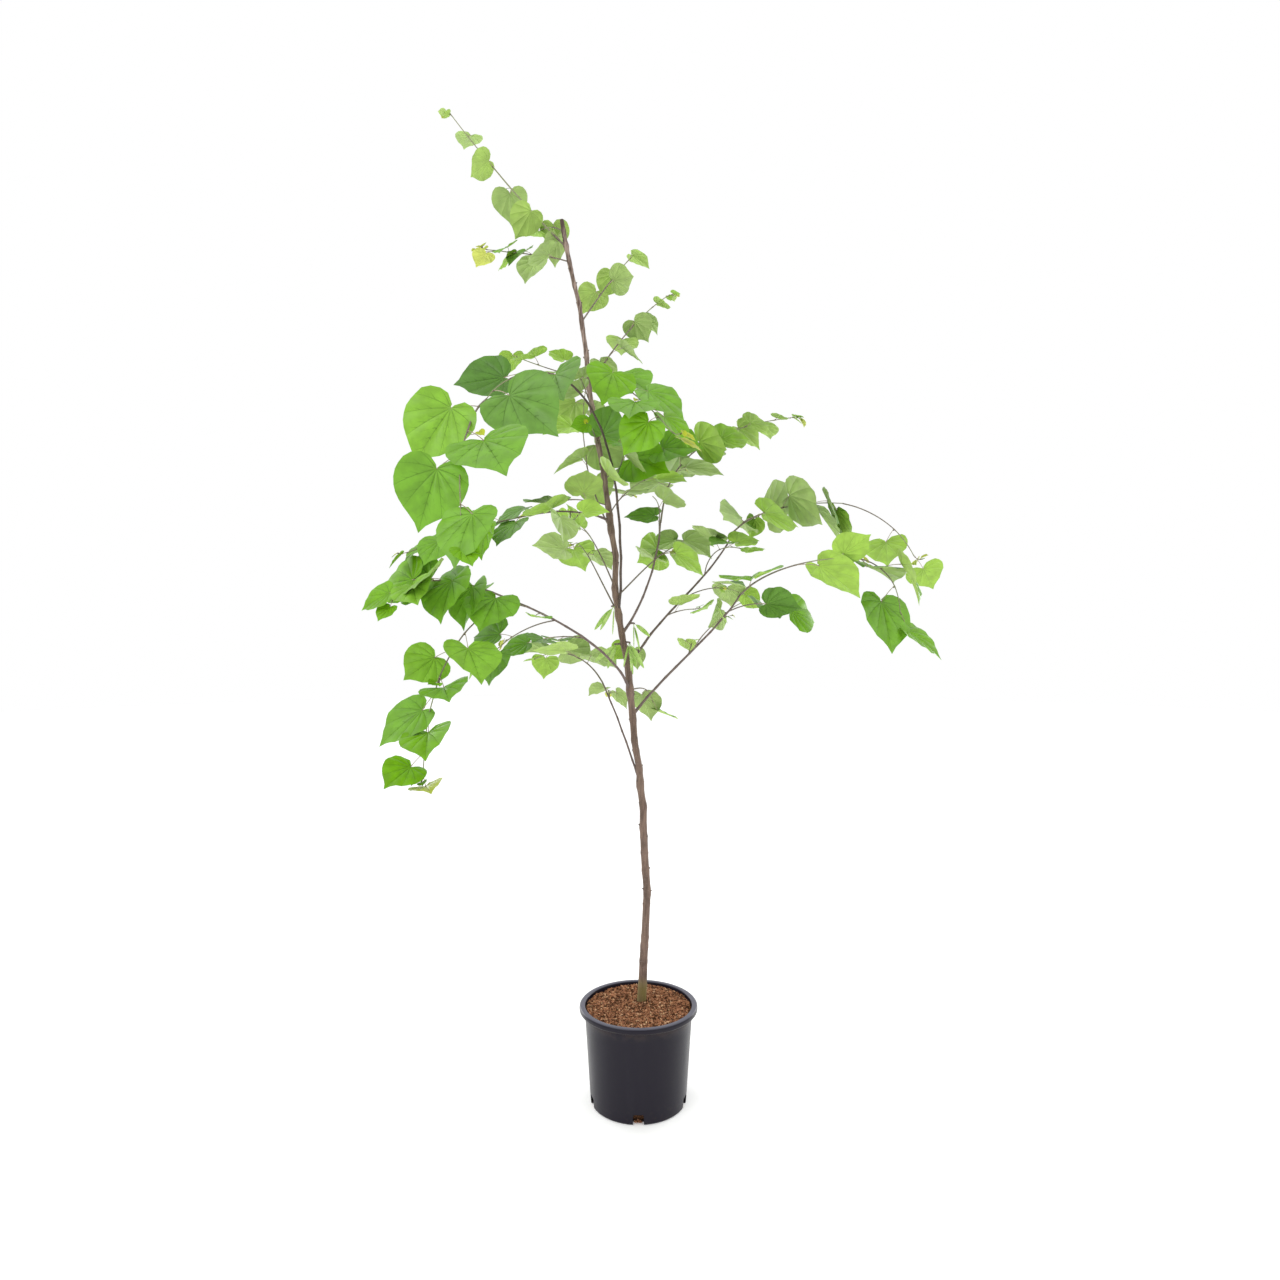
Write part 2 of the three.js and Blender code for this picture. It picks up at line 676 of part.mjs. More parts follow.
shoot('mid_left_twig', 1.6, {
  on: 'mid_left_bough', at: 0.76, yaw: 60, pitch: -40, turn: 20, tip: 15, ease: 1, length: 120,
}, {
  leaves: 2, bare: 0.6, size: 64, small: 0.85, face: 0.3, droop: 0.5, look: 70, seed: 659,
});
shoot('right_tip_twig', 1.6, {
  on: 'right_bough', at: 0.94, yaw: 65, pitch: 5, turn: 25, tip: 10, ease: 1, length: 120,
}, {
  leaves: 3, bare: 0.58, size: 106, small: 0.55, face: 0.75, droop: 0.2, seed: 238, first: -1,
});
shoot('low_right_mid_twig', 1.6, {
  on: 'low_right_bough', at: 0.78, yaw: 100, pitch: -10, turn: -35, tip: 20, ease: 1, length: 100,
}, {
  leaves: 2, bare: 0.38, size: 76, small: 0.75, face: 0.65, droop: 0.5, seed: 995, first: -1,
});
shoot('trunk_left_mid_twig', 1.6, {
  on: 1384, yaw: 205, rise: 15, turn: -10, tip: -20, ease: 1, length: 160,
}, {
  leaves: 4, bare: 0.32, size: 72, small: 0.85,
  face: 0.1, droop: 0.35, look: 100, seed: 922, first: -1,
});
shoot('trunk_right_high_twig', 1.6, {
  on: 1445, yaw: -30, rise: 30, turn: -20, tip: 5, ease: 1, length: 140,
}, {
  leaves: 3, bare: 0.2, size: 104, small: 1,
  face: 0.5, droop: 0.15, look: -160, seed: 490, first: -1,
});
shoot('crown_back_twig', 1.6, {
  on: 1681, yaw: 180, rise: 10, turn: -10, tip: 25, ease: 1, length: 180,
}, {
  leaves: 3, bare: 0.4, size: 72, small: 0.75, face: 0.1, droop: 0.2, look: 140, seed: 965,
});
shoot('low_left_twig', 1.6, {
  on: 'low_left_bough', at: 0.92, yaw: -35, pitch: -20, turn: -20, tip: -15, ease: 1, length: 70,
}, {
  leaves: 3, bare: 0.3, size: 48, small: 0.9, face: 0.35, droop: 0.4, look: 50, seed: 575,
});
shoot('right_back_twig', 1.6, {
  on: 'right_bough', at: 0.54, yaw: 15, pitch: -15, turn: 15, tip: -15, ease: 1, length: 180,
}, {
  leaves: 3, bare: 0.52, size: 78, small: 0.7, face: 0.35, droop: 0.15, look: 50, seed: 966,
});
shoot('arch_low_twig', 1.6, {
  on: 'arch_bough', at: 0.54, yaw: 45, pitch: -40, turn: -15, tip: 20, ease: 1, length: 120,
}, {
  leaves: 3, bare: 0.16, size: 68, small: 0.8, face: 0.4, droop: 0.4, look: -20, seed: 1,
});
shoot('trunk_right_mid_twig', 1.6, {
  on: 1361, yaw: -40, rise: 50, turn: 20, tip: 25, ease: 1, length: 120,
}, {
  leaves: 3, bare: 0.42, size: 84, small: 0.9,
  face: 0.1, droop: 0.45, look: 60, seed: 472, first: -1,
});
shoot('right_spray', 2.4, {
  on: 'right_bough', at: 1, yaw: 10, pitch: -5, turn: 23, tip: -5, ease: 0.4, length: 270,
}, {
  leaves: 7, bare: 0.12, upTo: 0.88, size: 104, small: 0.8,
  face: 0.5, droop: 0.5, seed: 206, first: -1,
});
shoot('right_fall', 1.6, {
  on: 'right_spray', at: 1, yaw: 15, pitch: -5, turn: 32, tip: -46, ease: 0.9, length: 240,
}, {
  leaves: 3, bare: 0.26, size: 100, small: 0.85, face: 0.25, droop: 0.65, look: 160, seed: 671,
});
shoot('low_right_spray', 2.4, {
  on: 'low_right_bough', at: 1, yaw: 10, pitch: -5, turn: 49, tip: 0, ease: 0.7, length: 270,
}, {
  leaves: 3, bare: 0.1, upTo: 0.88, size: 114, small: 0.75,
  face: 0.35, droop: 0.25, look: 50, seed: 464,
});
shoot('low_right_fall', 1.6, {
  on: 'low_right_spray', at: 1, yaw: 10, turn: 47, tip: -65, ease: 0.9, length: 220,
}, {
  leaves: 4, bare: 0.08, size: 120, small: 0.9,
  face: 0.5, droop: 0.35, look: -40, seed: 556, first: -1,
});
shoot('left_fall', 2, {
  on: 'left_bough', at: 0.92, yaw: 20, pitch: 20, turn: 23, tip: -90, ease: 0.4, length: 470,
}, {
  leaves: 7, bare: 0.36, size: 94, small: 0.65,
  face: 0.35, droop: 0.5, look: -80, seed: 138, first: -1,
});
shoot('leader_low_twig', 1.6, { on: 2023, yaw: 165, rise: 40, turn: -27, tip: 1, ease: 1, length: 60 }, {
  leaves: 2, bare: 0.42, size: 64, small: 0.65, face: 0.2, droop: 0.55, look: 40, seed: 104,
});

// ---------------------------------------------------------------- trunk, boughs and shoots

const swollenTrunk = trunkSolid(GAP / Math.cos(Math.PI / trunk.sides));

/** A limb cut back so that it stands a gap clear of what it grows on. */
function seated(limb, sides) {
  const parent = limbs.get(limb.on);
  const seat = parent ? limbSolid(parent, BOUGH_SIDES, GAP * 1.2) : swollenTrunk;
  return limbSolid(limb, sides).subtract(seat);
}

const space = new Space();
const trunkLine = Array.from({ length: trunk.rings + 1 }, (_, i) => (
  trunkAt(mix(trunk.bottom, trunk.top, i / trunk.rings))
));
space.addLimb('trunk', trunkLine, trunkLine.map(({ z }) => trunkGirth(z)));
for (const limb of limbs.values()) {
  space.addLimb(limb.name, limb.line, limb.line.map((_, i) => limb.girth(i / limb.steps)));
}

place('trunk', trunkSolid(0), materials.bark);
for (const limb of limbs.values()) {
  if (!limb.leaves) {
    place(limb.name, seated(limb, BOUGH_SIDES), materials.bark);
    continue;
  }
  let solid = seated(limb, TWIG_SIDES);
  for (const leaf of leavesOf(limb)) {
    if (!space.touches(limb.name, leaf)) {
      space.addLeaf(limb.name, leaf);
      solid = solid.add(leafSolid(leaf));
    }
  }
  place(limb.name, solid, materials.leaf);
}

// ---------------------------------------------------------------- pods

/** A bunch of flat seed pods, hung from one stub on the trunk or on a bough. */
function podBunch(name, { pods, seed, ...spot }) {
  const row = { name, rise: 10, turn: 0, tip: -10, ease: 1, ...spot };
  const stub = new Limb({ ...row, length: pod.stub, girths: pod.stubGirths }, limbs);
  let solid = seated(stub, TWIG_SIDES);
  for (let i = 0; i < pods; i += 1) {
    const heading = stub.heading + pod.fan * (i - (pods - 1) / 2) + 8 * swing(seed, 3 * i);
    const base = stub.point(0.8);
    const axis = pointing(heading, pod.hang[0] + pod.hang[1] * swing(seed, 3 * i + 1));
    const normal = axis.clone().cross(UP).normalize();
    const length = pod.length * (1 + 0.15 * swing(seed, 3 * i + 2));
    solid = solid.add(podSolid({ base, axis, normal, length }));
  }
  place(name, solid, materials.pod);
}

podBunch('pods_low', { on: 1064, yaw: -52, pods: 5, seed: 7 });
podBunch('pods_low_left', { on: 1060, yaw: -160, pods: 3, seed: 5 });
podBunch('pods_fork', { on: 'upper_right_bough', at: 0.1, yaw: -60, pitch: -50, pods: 3, seed: 9 });
podBunch('pods_high', { on: 1148, yaw: -130, pods: 3, seed: 12 });

// ---------------------------------------------------------------- pot and potting mix

/** The wall's outside radius at height z, above its rounded foot. */
function wallAt(z) {
  const up = (z - pot.footHeight) / (pot.lipFoot - pot.footHeight);
  return mix(pot.bodyFootRadius, pot.bodyTopRadius, up);
}

/** The pot: a thin wall with a collar, a rolled lip and a flat floor, turned round its axis. */
function potSolid() {
  const { height, wall, floor, lipFoot, rimRadius, footRadius, footHeight } = pot;
  const collar = lipFoot - pot.collarHeight;
  const profile = [
    [0, 0],
    [footRadius, 0],
    [wallAt(footHeight) - 1, 1.5],
    [wallAt(footHeight), footHeight],
    [wallAt(collar), collar],
    [wallAt(collar) + pot.collarOut, collar + 5],
    [wallAt(lipFoot) + pot.collarOut, lipFoot],
    [rimRadius - 0.5, lipFoot],
    [rimRadius, lipFoot + 4],
    [rimRadius - 1, height - 4],
    [rimRadius - 5, height - 0.5],
    [wallAt(height) + 1, height],
    [wallAt(height) - wall, height - 3],
    [wallAt(footHeight) - wall, footHeight],
    [footRadius - wall, floor],
    [0, floor],
  ];
  const points = profile.map(([radius, z]) => new THREE.Vector2(radius, z));
  let solid = solidFrom(new THREE.LatheGeometry(points, pot.segments).rotateX(Math.PI / 2));
  for (let i = 0; i < pot.notches; i += 1) {
    const notch = new THREE.BoxGeometry(pot.notchDepth * 2, pot.notchWidth, pot.notchHeight * 2);
    notch.translate(footRadius, 0, 0).rotateZ((i / pot.notches) * 2 * Math.PI - Math.PI / 2);
    solid = solid.subtract(solidFrom(notch));
  }
  return solid;
}

/** The potting mix: it fills the pot, a gap clear of the wall and the floor, up to the soil line. */
function mixSolid() {
  const { wall, floor, footRadius, footHeight } = pot;
  const inset = wall + GAP * 2;
  const profile = [
    [0, floor + GAP],
    [footRadius - inset, floor + GAP],
    [wallAt(footHeight) - inset, footHeight],
    [wallAt(SOIL_TOP) - inset, SOIL_TOP],
    [0, SOIL_TOP],
  ];
  const points = profile.map(([radius, z]) => new THREE.Vector2(radius, z));
  return solidFrom(new THREE.LatheGeometry(points, pot.segments).rotateX(Math.PI / 2));
}

place('pot', potSolid(), materials.pot);
place('potting_mix', mixSolid(), materials.mix);

export default plant;
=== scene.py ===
# %% [markdown]
# # A young redbud in its nursery pot
#
# A frame of plain solids stands ready: trunk, boughs, leafy shoots, pods, pot and potting mix.
# This lesson dresses it. Limbs get bark, shoots get fine twigs and thin veined leaves, and the
# pot gets its rolled lip and its bark crumbs. Lengths are in millimetres until a mesh is made,
# because that is how a grower measures leaves. Blender itself works in metres.

# %% The frame
import math
from collections import namedtuple

import bpy
import numpy as np
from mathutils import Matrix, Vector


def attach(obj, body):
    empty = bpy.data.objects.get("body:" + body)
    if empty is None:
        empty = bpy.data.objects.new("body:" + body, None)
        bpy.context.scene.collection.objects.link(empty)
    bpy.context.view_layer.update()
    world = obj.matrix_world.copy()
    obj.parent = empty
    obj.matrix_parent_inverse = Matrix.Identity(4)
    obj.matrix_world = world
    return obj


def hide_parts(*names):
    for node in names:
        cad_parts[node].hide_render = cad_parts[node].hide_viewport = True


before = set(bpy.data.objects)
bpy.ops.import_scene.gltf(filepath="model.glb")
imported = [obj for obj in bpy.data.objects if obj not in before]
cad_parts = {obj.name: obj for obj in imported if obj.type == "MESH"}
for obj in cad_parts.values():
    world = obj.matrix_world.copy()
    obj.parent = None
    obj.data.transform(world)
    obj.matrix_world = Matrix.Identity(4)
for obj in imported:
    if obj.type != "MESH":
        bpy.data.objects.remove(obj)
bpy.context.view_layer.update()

# %% [markdown]
# ## The trunk's line
#
# A nursery redbud is a whip that was staked and cut back, so its trunk leans and wanders. A
# straight lean plus three sine bends follows it well: the first is the belly, the others the
# wobble. A formula is better than hand-set points here, because everything that grows on the
# trunk can ask it for a place.

# %% Trunk line and girth
SEAT = 0.3
SOIL_TOP = 215.5
TRUNK_FOOT, TRUNK_TOP = SOIL_TOP + SEAT, 2052.0
FOOT_X, LEAN, BENDS = 7, 187, (51.5, 8.6, 7.2)
FOOT_BACK, UPRIGHT = 28, 0.3
RADIUS, TAPER, FLARE, FLARE_HEIGHT = 9.6, 5.2, 4, 46


def up_trunk(z):
    """How far up the trunk a height is: 0 at its foot, 1 at its top."""
    return (z - TRUNK_FOOT) / (TRUNK_TOP - TRUNK_FOOT)


def trunk_at(z):
    """The trunk's middle at height z: foot - lean h + bend sin(k pi h) for each of its bends
    along X, and along Y a parabola that ends where the trunk has come upright."""
    z = np.asarray(z, float)
    h = up_trunk(z)
    x = FOOT_X - LEAN * h
    for k, bend in enumerate(BENDS, 1):
        x = x + bend * np.sin(k * np.pi * h)
    y = FOOT_BACK * np.maximum(0, 1 - h / UPRIGHT) ** 2
    return np.stack([x, y, z], axis=-1)


def trunk_girth(z):
    """The trunk's radius: an even taper, plus a root flare that dies away upwards."""
    return RADIUS - TAPER * up_trunk(z) + FLARE * np.exp(-(z - TRUNK_FOOT) / FLARE_HEIGHT)


print("the trunk's top stands at", trunk_at(TRUNK_TOP).round(1))

# %% [markdown]
# ## Limbs that turn evenly
#
# A bough leaves the trunk steeply and bends over as its load of leaves grows. So a limb is a
# heading that turns evenly and a rise that goes over into the tip's rise, added up in short
# steps. A shoot does the same, starting from its bough's tip.

# %% Limbs
UP = np.array([0.0, 0.0, 1.0])
STEP = 32
limbs = {}


def unit(v):
    """Each vector at length 1."""
    return v / np.linalg.norm(v, axis=-1, keepdims=True)


def pointing(heading, rise):
    """The way of a compass heading and a rise, in degrees."""
    h, r = np.radians(heading), np.radians(rise)
    return np.stack([np.cos(r) * np.cos(h), np.cos(r) * np.sin(h), np.sin(r) + 0 * h], axis=-1)


class Limb:
    """A limb's middle line: each step goes length / steps along the way at the step's middle.
    On the trunk, at is a height. On another limb, at is a part of its length, and yaw and rise
    are counted from the way it has there."""

    def __init__(self, name, on, at, length, thick, thin, yaw=0, rise=0, turn=0, tip=0, ease=1):
        self.name, self.on, self.at, self.length = name, on, at, length
        self.thick, self.thin, self.turn, self.tip, self.ease = thick, thin, turn, tip, ease
        if on == "trunk":
            self.root, self.heading, self.rise = trunk_at(at), yaw, rise
        else:
            parent = limbs[on]
            self.root = parent.point(at)
            self.heading = parent.heading + parent.turn * at + yaw
            self.rise = parent.rise_at(at) + rise
        self.steps = max(6, math.floor(length / STEP + 0.5))
        ways = self.way((np.arange(self.steps) + 0.5) / self.steps)
        walked = np.cumsum(ways * length / self.steps, axis=0)
        self.line = self.root + np.vstack([np.zeros(3), walked])

    def rise_at(self, u):
        """The rise goes over into the tip's with u to the power ease."""
        return self.rise + (self.tip - self.rise) * u**self.ease

    def way(self, u):
        """The way that the limb runs at a part u of its length."""
        return pointing(self.heading + self.turn * u, self.rise_at(u))

    def side(self, u):
        """The level way across the limb, to its right."""
        h = np.radians(self.heading + self.turn * u)
        return np.stack([np.sin(h), -np.cos(h), 0 * h], axis=-1)

    def girth(self, u):
        """Its radius, an even taper."""
        return self.thick + (self.thin - self.thick) * u

    def point(self, u):
        """A place on the straight steps."""
        spots = np.linspace(0, 1, self.steps + 1)
        return np.stack([np.interp(u, spots, self.line[:, k]) for k in range(3)], axis=-1)


print("a limb's steps are about", STEP, "mm long")

# %% [markdown]
# ## The habit of the tree
#
# Two tables hold the whole habit. The first has the line of every bough and shoot, each after
# the limb that carries it: where it starts, how it turns and rises, and its radius at both ends.
# Most numbers of both tables, and the trunk's, were found by fitting and search programs outside
# this file. They aren't worked out here, and they stand only for this one tree.

# %% Lines of the boughs and the shoots
LINES = """
name                  on                  at  yaw rise turn tip ease length thick thin
left_bough            trunk              953 -120   60  -46  22   .4    371   4.4  2.4
right_bough           trunk              993   69   45 -111  59    4    460   4.6  2.4
low_right_bough       trunk              895   42   45  -97  45    1    397   4.6  2.4
upper_right_bough     trunk             1084  -11   49   82  76   .4    287     4  2.4
mid_left_bough        trunk             1348 -157   34   11  -5   .4    129     3  2.2
low_left_bough        trunk              736  178   70  -46  55  2.6    231   3.4  2.2
arch_bough            trunk             1135  -79   76  -66  22  3.3    562   4.6  2.6
left_spray            left_bough           1    0    0   30 -49  2.1    275   2.4  1.3
upper_right_spray     upper_right_bough    1    0    0  -98  -1  .95    488   2.4  1.3
mid_left_spray        mid_left_bough       1    0    0   -7 -24  .46    358   2.2  1.3
low_left_spray        low_left_bough       1    0    0   25 -25  1.2    260   2.2  1.3
arch_spray            arch_bough           1    0    0   34 -46   .5    237   2.6  1.3
arch_fall             arch_spray           1    5   16   39 -60  .57    397   2.1  1.3
left_inner_spray      left_bough          .8   50  -10   10 -20    1     70   1.6  1.3
right_inner_spray     right_bough        .42  -40  -20   10   0    1     70   1.6  1.3
low_right_inner_spray low_right_bough    .55  -50    0   20  30    1    110   1.8  1.3
front_spray           trunk             1691  -65   -8   13 -43  .54    414   2.6  1.3
leader_spray          trunk             1988 -172   37   -6  52   .4    394   2.6  1.3
upper_left_spray      trunk             1953  170   36   57 -14   .4    203   1.8  1.3
upper_right_twig      trunk             1813   40   54   12  44  1.7    285   2.2  1.3
mid_right_twig        trunk             1666   25   59    3  38 1.45    317   2.2  1.3
back_left_spray       trunk             1327  146   57  -71  71   .7    423   2.2  1.3
left_near_spray       trunk             1189  171   63  -30  13    4    211   2.2  1.3
left_back_spray       trunk             1126  164   58  -56 -15    4    278   2.2  1.3
right_near_spray      trunk             1170   27   46   36  -2  1.7    313   2.2  1.3
low_back_spray        trunk              953   56    8    8 -59  1.7    116   1.8  1.3
right_low_twig        right_bough        .16   85  -40  -30  15    1     60   1.6  1.3
right_mid_twig        right_bough        .72  -70    0   30 -15    1    180   1.6  1.3
low_right_low_twig    low_right_bough     .5   80    0    5  15    1     70   1.6  1.3
low_right_tip_twig    low_right_bough    .86   60  -20   20 -15    1    150   1.6  1.3
upper_right_mid_twig  upper_right_bough  .88 -140   10  -40  10    1    120   1.6  1.3
trunk_left_high_twig  trunk             1520  245   50   15  10    1     70   1.6  1.3
crown_twig            trunk             1588 -105   40  -10  25    1    160   1.6  1.3
left_mid_twig         left_bough         .52  -45  -20   20 -15    1    100   1.6  1.3
left_low_twig         left_bough         .74    0  -35  -10 -45    1    150   1.6  1.3
mid_left_twig         mid_left_bough     .76   60  -40   20  15    1    120   1.6  1.3
right_tip_twig        right_bough        .94   65    5   25  10    1    120   1.6  1.3
low_right_mid_twig    low_right_bough    .78  100  -10  -35  20    1    100   1.6  1.3
trunk_left_mid_twig   trunk             1384  205   15  -10 -20    1    160   1.6  1.3
trunk_right_high_twig trunk             1445  -30   30  -20   5    1    140   1.6  1.3
crown_back_twig       trunk             1681  180   10  -10  25    1    180   1.6  1.3
low_left_twig         low_left_bough     .92  -35  -20  -20 -15    1     70   1.6  1.3
right_back_twig       right_bough        .54   15  -15   15 -15    1    180   1.6  1.3
arch_low_twig         arch_bough         .54   45  -40  -15  20    1    120   1.6  1.3
trunk_right_mid_twig  trunk             1361  -40   50   20  25    1    120   1.6  1.3
right_spray           right_bough          1   10   -5   23  -5   .4    270   2.4  1.3
right_fall            right_spray          1   15   -5   32 -46   .9    240   1.6  1.3
low_right_spray       low_right_bough      1   10   -5   49   0   .7    270   2.4  1.3
low_right_fall        low_right_spray      1   10    0   47 -65   .9    220   1.6  1.3
left_fall             left_bough         .92   20   20   23 -90   .4    470     2  1.3
leader_low_twig       trunk             2023  165   40  -27   1    1     60   1.6  1.3
"""


def read(word):
    """A word stays a word, a lone dash is nothing, and the rest are numbers."""
    if word == "-":
        return None
    if word[-1].isalpha():
        return word
    return float(word) if "." in word else int(word)


def table(text):
    """A table's rows, each with its values under the names in the table's head."""
    head, *rows = [line.split() for line in text.strip().split("\n")]
    return [dict(zip(head, map(read, row))) for row in rows]


for row in table(LINES):
    limbs[row["name"]] = Limb(**row)
print(len(limbs), "limbs")

# %% [markdown]
# The second table has the leaves of every shoot: how many there are, which part of the shoot
# they take up, how large the first is and how much of that the last, how far the blades face
# outwards and hang, which way they look where all of them face the light, the side of the first,
# the seed that makes this shoot differ from the others, and its greens from its foot to its tip,
# by their first letters. What has no row here is a bough.

# %% Leaves of the shoots
LEAFAGE = """
name                  leaves bare up_to size small face droop look first seed greens
left_spray                11  .08     1  106   .35   .4   .25 -120    -1  676    fvb
upper_right_spray         11   .2     1   96   .25  .35   .45    -    -1  574  mdvfy
mid_left_spray             9  .04     1   88    .4  .35   .75    -    -1  902   mvfv
low_left_spray             6  .34     1   88    .3  .25    .2  110     1   85      -
arch_spray                 3  .04   .86  118     1   .5    .1 -120    -1  722    mdm
arch_fall                  5   .1     1  116   .35   .6    .7 -110     1   93    bfv
left_inner_spray           2  .12     1   80   .65   .2    .5  -50     1  748      -
right_inner_spray          2  .32     1   76   .75   .3    .7 -160     1  759      -
low_right_inner_spray      2   .3     1   74   .45  .35    .2  -30    -1  634      -
front_spray                8  .14     1  102    .5   .5   .55  -80     1  700  fvfvy
leader_spray               6  .06     1   70    .3  .45   .65  140     1  643  mfmfy
upper_left_spray           8  .04     1   66    .3   .3   .45    -     1  385   dmvy
upper_right_twig           6  .14     1   66    .3   .4   .35    -     1  966      -
mid_right_twig             7  .16     1   70    .2   .3   .75   60    -1  945      -
back_left_spray            8  .18     1   84    .7   .4    .6    -    -1  206      -
left_near_spray            3  .38     1   70   .75  .65    .1   60     1  364      -
left_back_spray            3  .62     1   84   .95  .25   .05   90     1  519      -
right_near_spray           8  .34     1   80   .65  .45   .35    -     1  343      -
low_back_spray             3  .26     1   78    .8   .3    .8    -     1  359      -
right_low_twig             2  .46     1   56   .95   .9    .5    -     1  381      -
right_mid_twig             4   .6     1   74   .75  .15    .1  100     1  223      -
low_right_low_twig         2  .52     1   44    .7  .25    .7   50    -1  757      -
low_right_tip_twig         3  .52     1   88   .95  .45   .15  -60     1  541      -
upper_right_mid_twig       3  .26     1   76    .7  .25    .4  -20     1   56      -
trunk_left_high_twig       2  .22     1   88   .55    1    .1  -80    -1  365      -
crown_twig                 3   .4     1   68   .65   .1   .05 -150     1  331      -
left_mid_twig              3  .46     1   68   .95  .35    .3 -130     1  426      -
left_low_twig              3  .66     1   76   .85  .55    .1    -     1  588      -
mid_left_twig              2   .6     1   64   .85   .3    .5   70     1  659      -
right_tip_twig             3  .58     1  106   .55  .75    .2    -    -1  238      -
low_right_mid_twig         2  .38     1   76   .75  .65    .5    -    -1  995      -
trunk_left_mid_twig        4  .32     1   72   .85   .1   .35  100    -1  922      -
trunk_right_high_twig      3   .2     1  104     1   .5   .15 -160    -1  490      -
crown_back_twig            3   .4     1   72   .75   .1    .2  140     1  965      -
low_left_twig              3   .3     1   48    .9  .35    .4   50     1  575      -
right_back_twig            3  .52     1   78    .7  .35   .15   50     1  966      -
arch_low_twig              3  .16     1   68    .8   .4    .4  -20     1    1      -
trunk_right_mid_twig       3  .42     1   84    .9   .1   .45   60    -1  472      -
right_spray                7  .12   .88  104    .8   .5    .5    -    -1  206   fvmv
right_fall                 3  .26     1  100   .85  .25   .65  160     1  671    bfv
low_right_spray            3   .1   .88  114   .75  .35   .25   50     1  464    vfv
low_right_fall             4  .08     1  120    .9   .5   .35  -40    -1  556    mfv
left_fall                  7  .36     1   94   .65  .35    .5  -80    -1  138  bvfvy
leader_low_twig            2  .42     1   64   .65   .2   .55   40     1  104      -
"""
# A habit has one field for each column.
Habit = namedtuple("Habit", LEAFAGE.split("\n")[1])
PLAIN_GREENS, YOUNG_GREENS = "mfvmfv", "vyby"
habits = {row["name"]: Habit(**row) for row in table(LEAFAGE)}
bough_names = [name for name in limbs if name not in habits]
shoot_names = list(habits)
print(len(bough_names), "boughs and", len(shoot_names), "shoots")

# %% [markdown]
# ## Where the leaves stand
#
# Redbud leaves stand in turn on the two sides of a shoot, each on a long stalk. Real ones never
# repeat, so every leaf draws six numbers from its shoot's seed: they vary its size, the opening
# and lift of its stalk, and how its blade tips. The same seed always grows the same shoot.

# %% Leaves by rule
FOLD, BEND = 0.16, 0.12
SPREAD, SPREAD_DRAW, LIFT, LIFT_DRAW = 50, 20, 15, 35
STALK, SAG, TIPPED, SWERVE = 0.4, 0.12, 0.35, 0.25
DISC_AT, DISC = 0.42, 0.56
RIM_X = np.array([1, 0.62, 0.25, -0.13, 0, -0.13, 0.25, 0.62])[:, None]
RIM_Y = np.array([0, 0.42, 0.54, 0.34, 0, -0.34, -0.54, -0.42])[:, None]
Leaf = namedtuple(
    "Leaf", "shoot number order place node base axis normal size draws centre radius rim"
)


def swing(seed, k):
    """The k-th number of a seed, -1 to 1: the fraction that a very steep sine leaves over."""
    value = np.sin(seed * 12.9898 + k * 78.233) * 43758.5453
    return 2 * (value - np.floor(value)) - 1


def rim_of(base, axis, normal, size):
    """Eight rim points, x to the tip and y across in leaf lengths: the halves rise from the
    midrib by FOLD |y|, and the tip hangs by BEND x squared."""
    rise = FOLD * np.abs(RIM_Y) - BEND * RIM_X * RIM_X
    return base + size * (RIM_X * axis + RIM_Y * np.cross(normal, axis) + rise * normal)


def leaves_of(limb, habit):
    """The shoot's leaves from its bare foot to its tip. A leaf's stalk leaves the shoot at an
    angle spread, turned up by lift. Its blade faces outwards and up, tipped a little by its
    draws, and its axis is the stalk's way, drooping and laid flat on the blade."""
    for i in range(habit.leaves):
        draws = swing(habit.seed, 6 * i + np.arange(6))
        large, opening, roll, reach, tilt, slip = draws
        last = i == habit.leaves - 1
        order = i / (habit.leaves - 1)
        step = order if last else min(1, max(0, order + 0.25 / habit.leaves * slip))
        u = habit.bare + (habit.up_to - habit.bare) * step
        node, way, side = limb.point(u), limb.way(u), limb.side(u)
        over = np.cross(side, way)
        size = habit.size * (1 - (1 - habit.small) * order**4) * (1 + 0.15 * large)

        spread = math.radians(SPREAD + SPREAD_DRAW * opening) * (0.4 if u == 1 else 1)
        lift = math.radians(LIFT + LIFT_DRAW * roll)
        hand = habit.first * (-1) ** i
        across = side * hand * math.cos(lift) + over * math.sin(lift)
        stalk_way = way * math.cos(spread) + across * math.sin(spread)
        stalk = STALK * size * (1 + 0.25 * reach)
        base = node + stalk_way * stalk - UP * SAG * stalk

        outward = (base - trunk_at(base[2])) * (1, 1, 0)
        outward = unit(outward) if habit.look is None else pointing(habit.look, 0)
        normal = outward * habit.face + UP * (1 - habit.face)
        normal = unit(normal + TIPPED * np.array([reach, tilt, slip]))
        axis = stalk_way * (1 - habit.droop) - UP * habit.droop
        axis = axis + SWERVE * np.array([tilt, large, 0])
        axis = unit(axis - normal * (axis @ normal))
        disc = base + axis * DISC_AT * size, DISC * size, rim_of(base, axis, normal, size)
        yield Leaf(limb.name, i, order, u, node, base, axis, normal, size, draws, *disc)


print("a first leaf:", next(leaves_of(limbs["leader_spray"], habits["leader_spray"])).size)

# %% [markdown]
# ## Room for every leaf
#
# Two leaves of different shoots may not cut through each other, nor through a bough. A leaf is
# nearly a round disc, so a disc with eight rim points is enough to test it with. A leaf that
# would touch something is left out, just as the frame's solids leave it out.

# %% Keeping clear
CLEAR = 3.0


def to_disc(spots, disc):
    """Distance from spots to a disc: its height and what is left over outside its rim."""
    away = spots - disc.centre
    height = away @ disc.normal
    flat = np.sqrt(np.maximum(0, (away**2).sum(axis=-1) - height**2))
    return np.hypot(height, np.maximum(0, flat - disc.radius))


def to_segments(spots, a, b):
    """Distance from each spot to each segment from a to b."""
    line = b - a
    t = ((spots[:, None] - a) * line).sum(axis=-1) / (line**2).sum(axis=-1)
    foot = a + np.clip(t, 0, 1)[..., None] * line
    return np.linalg.norm(spots[:, None] - foot, axis=-1)


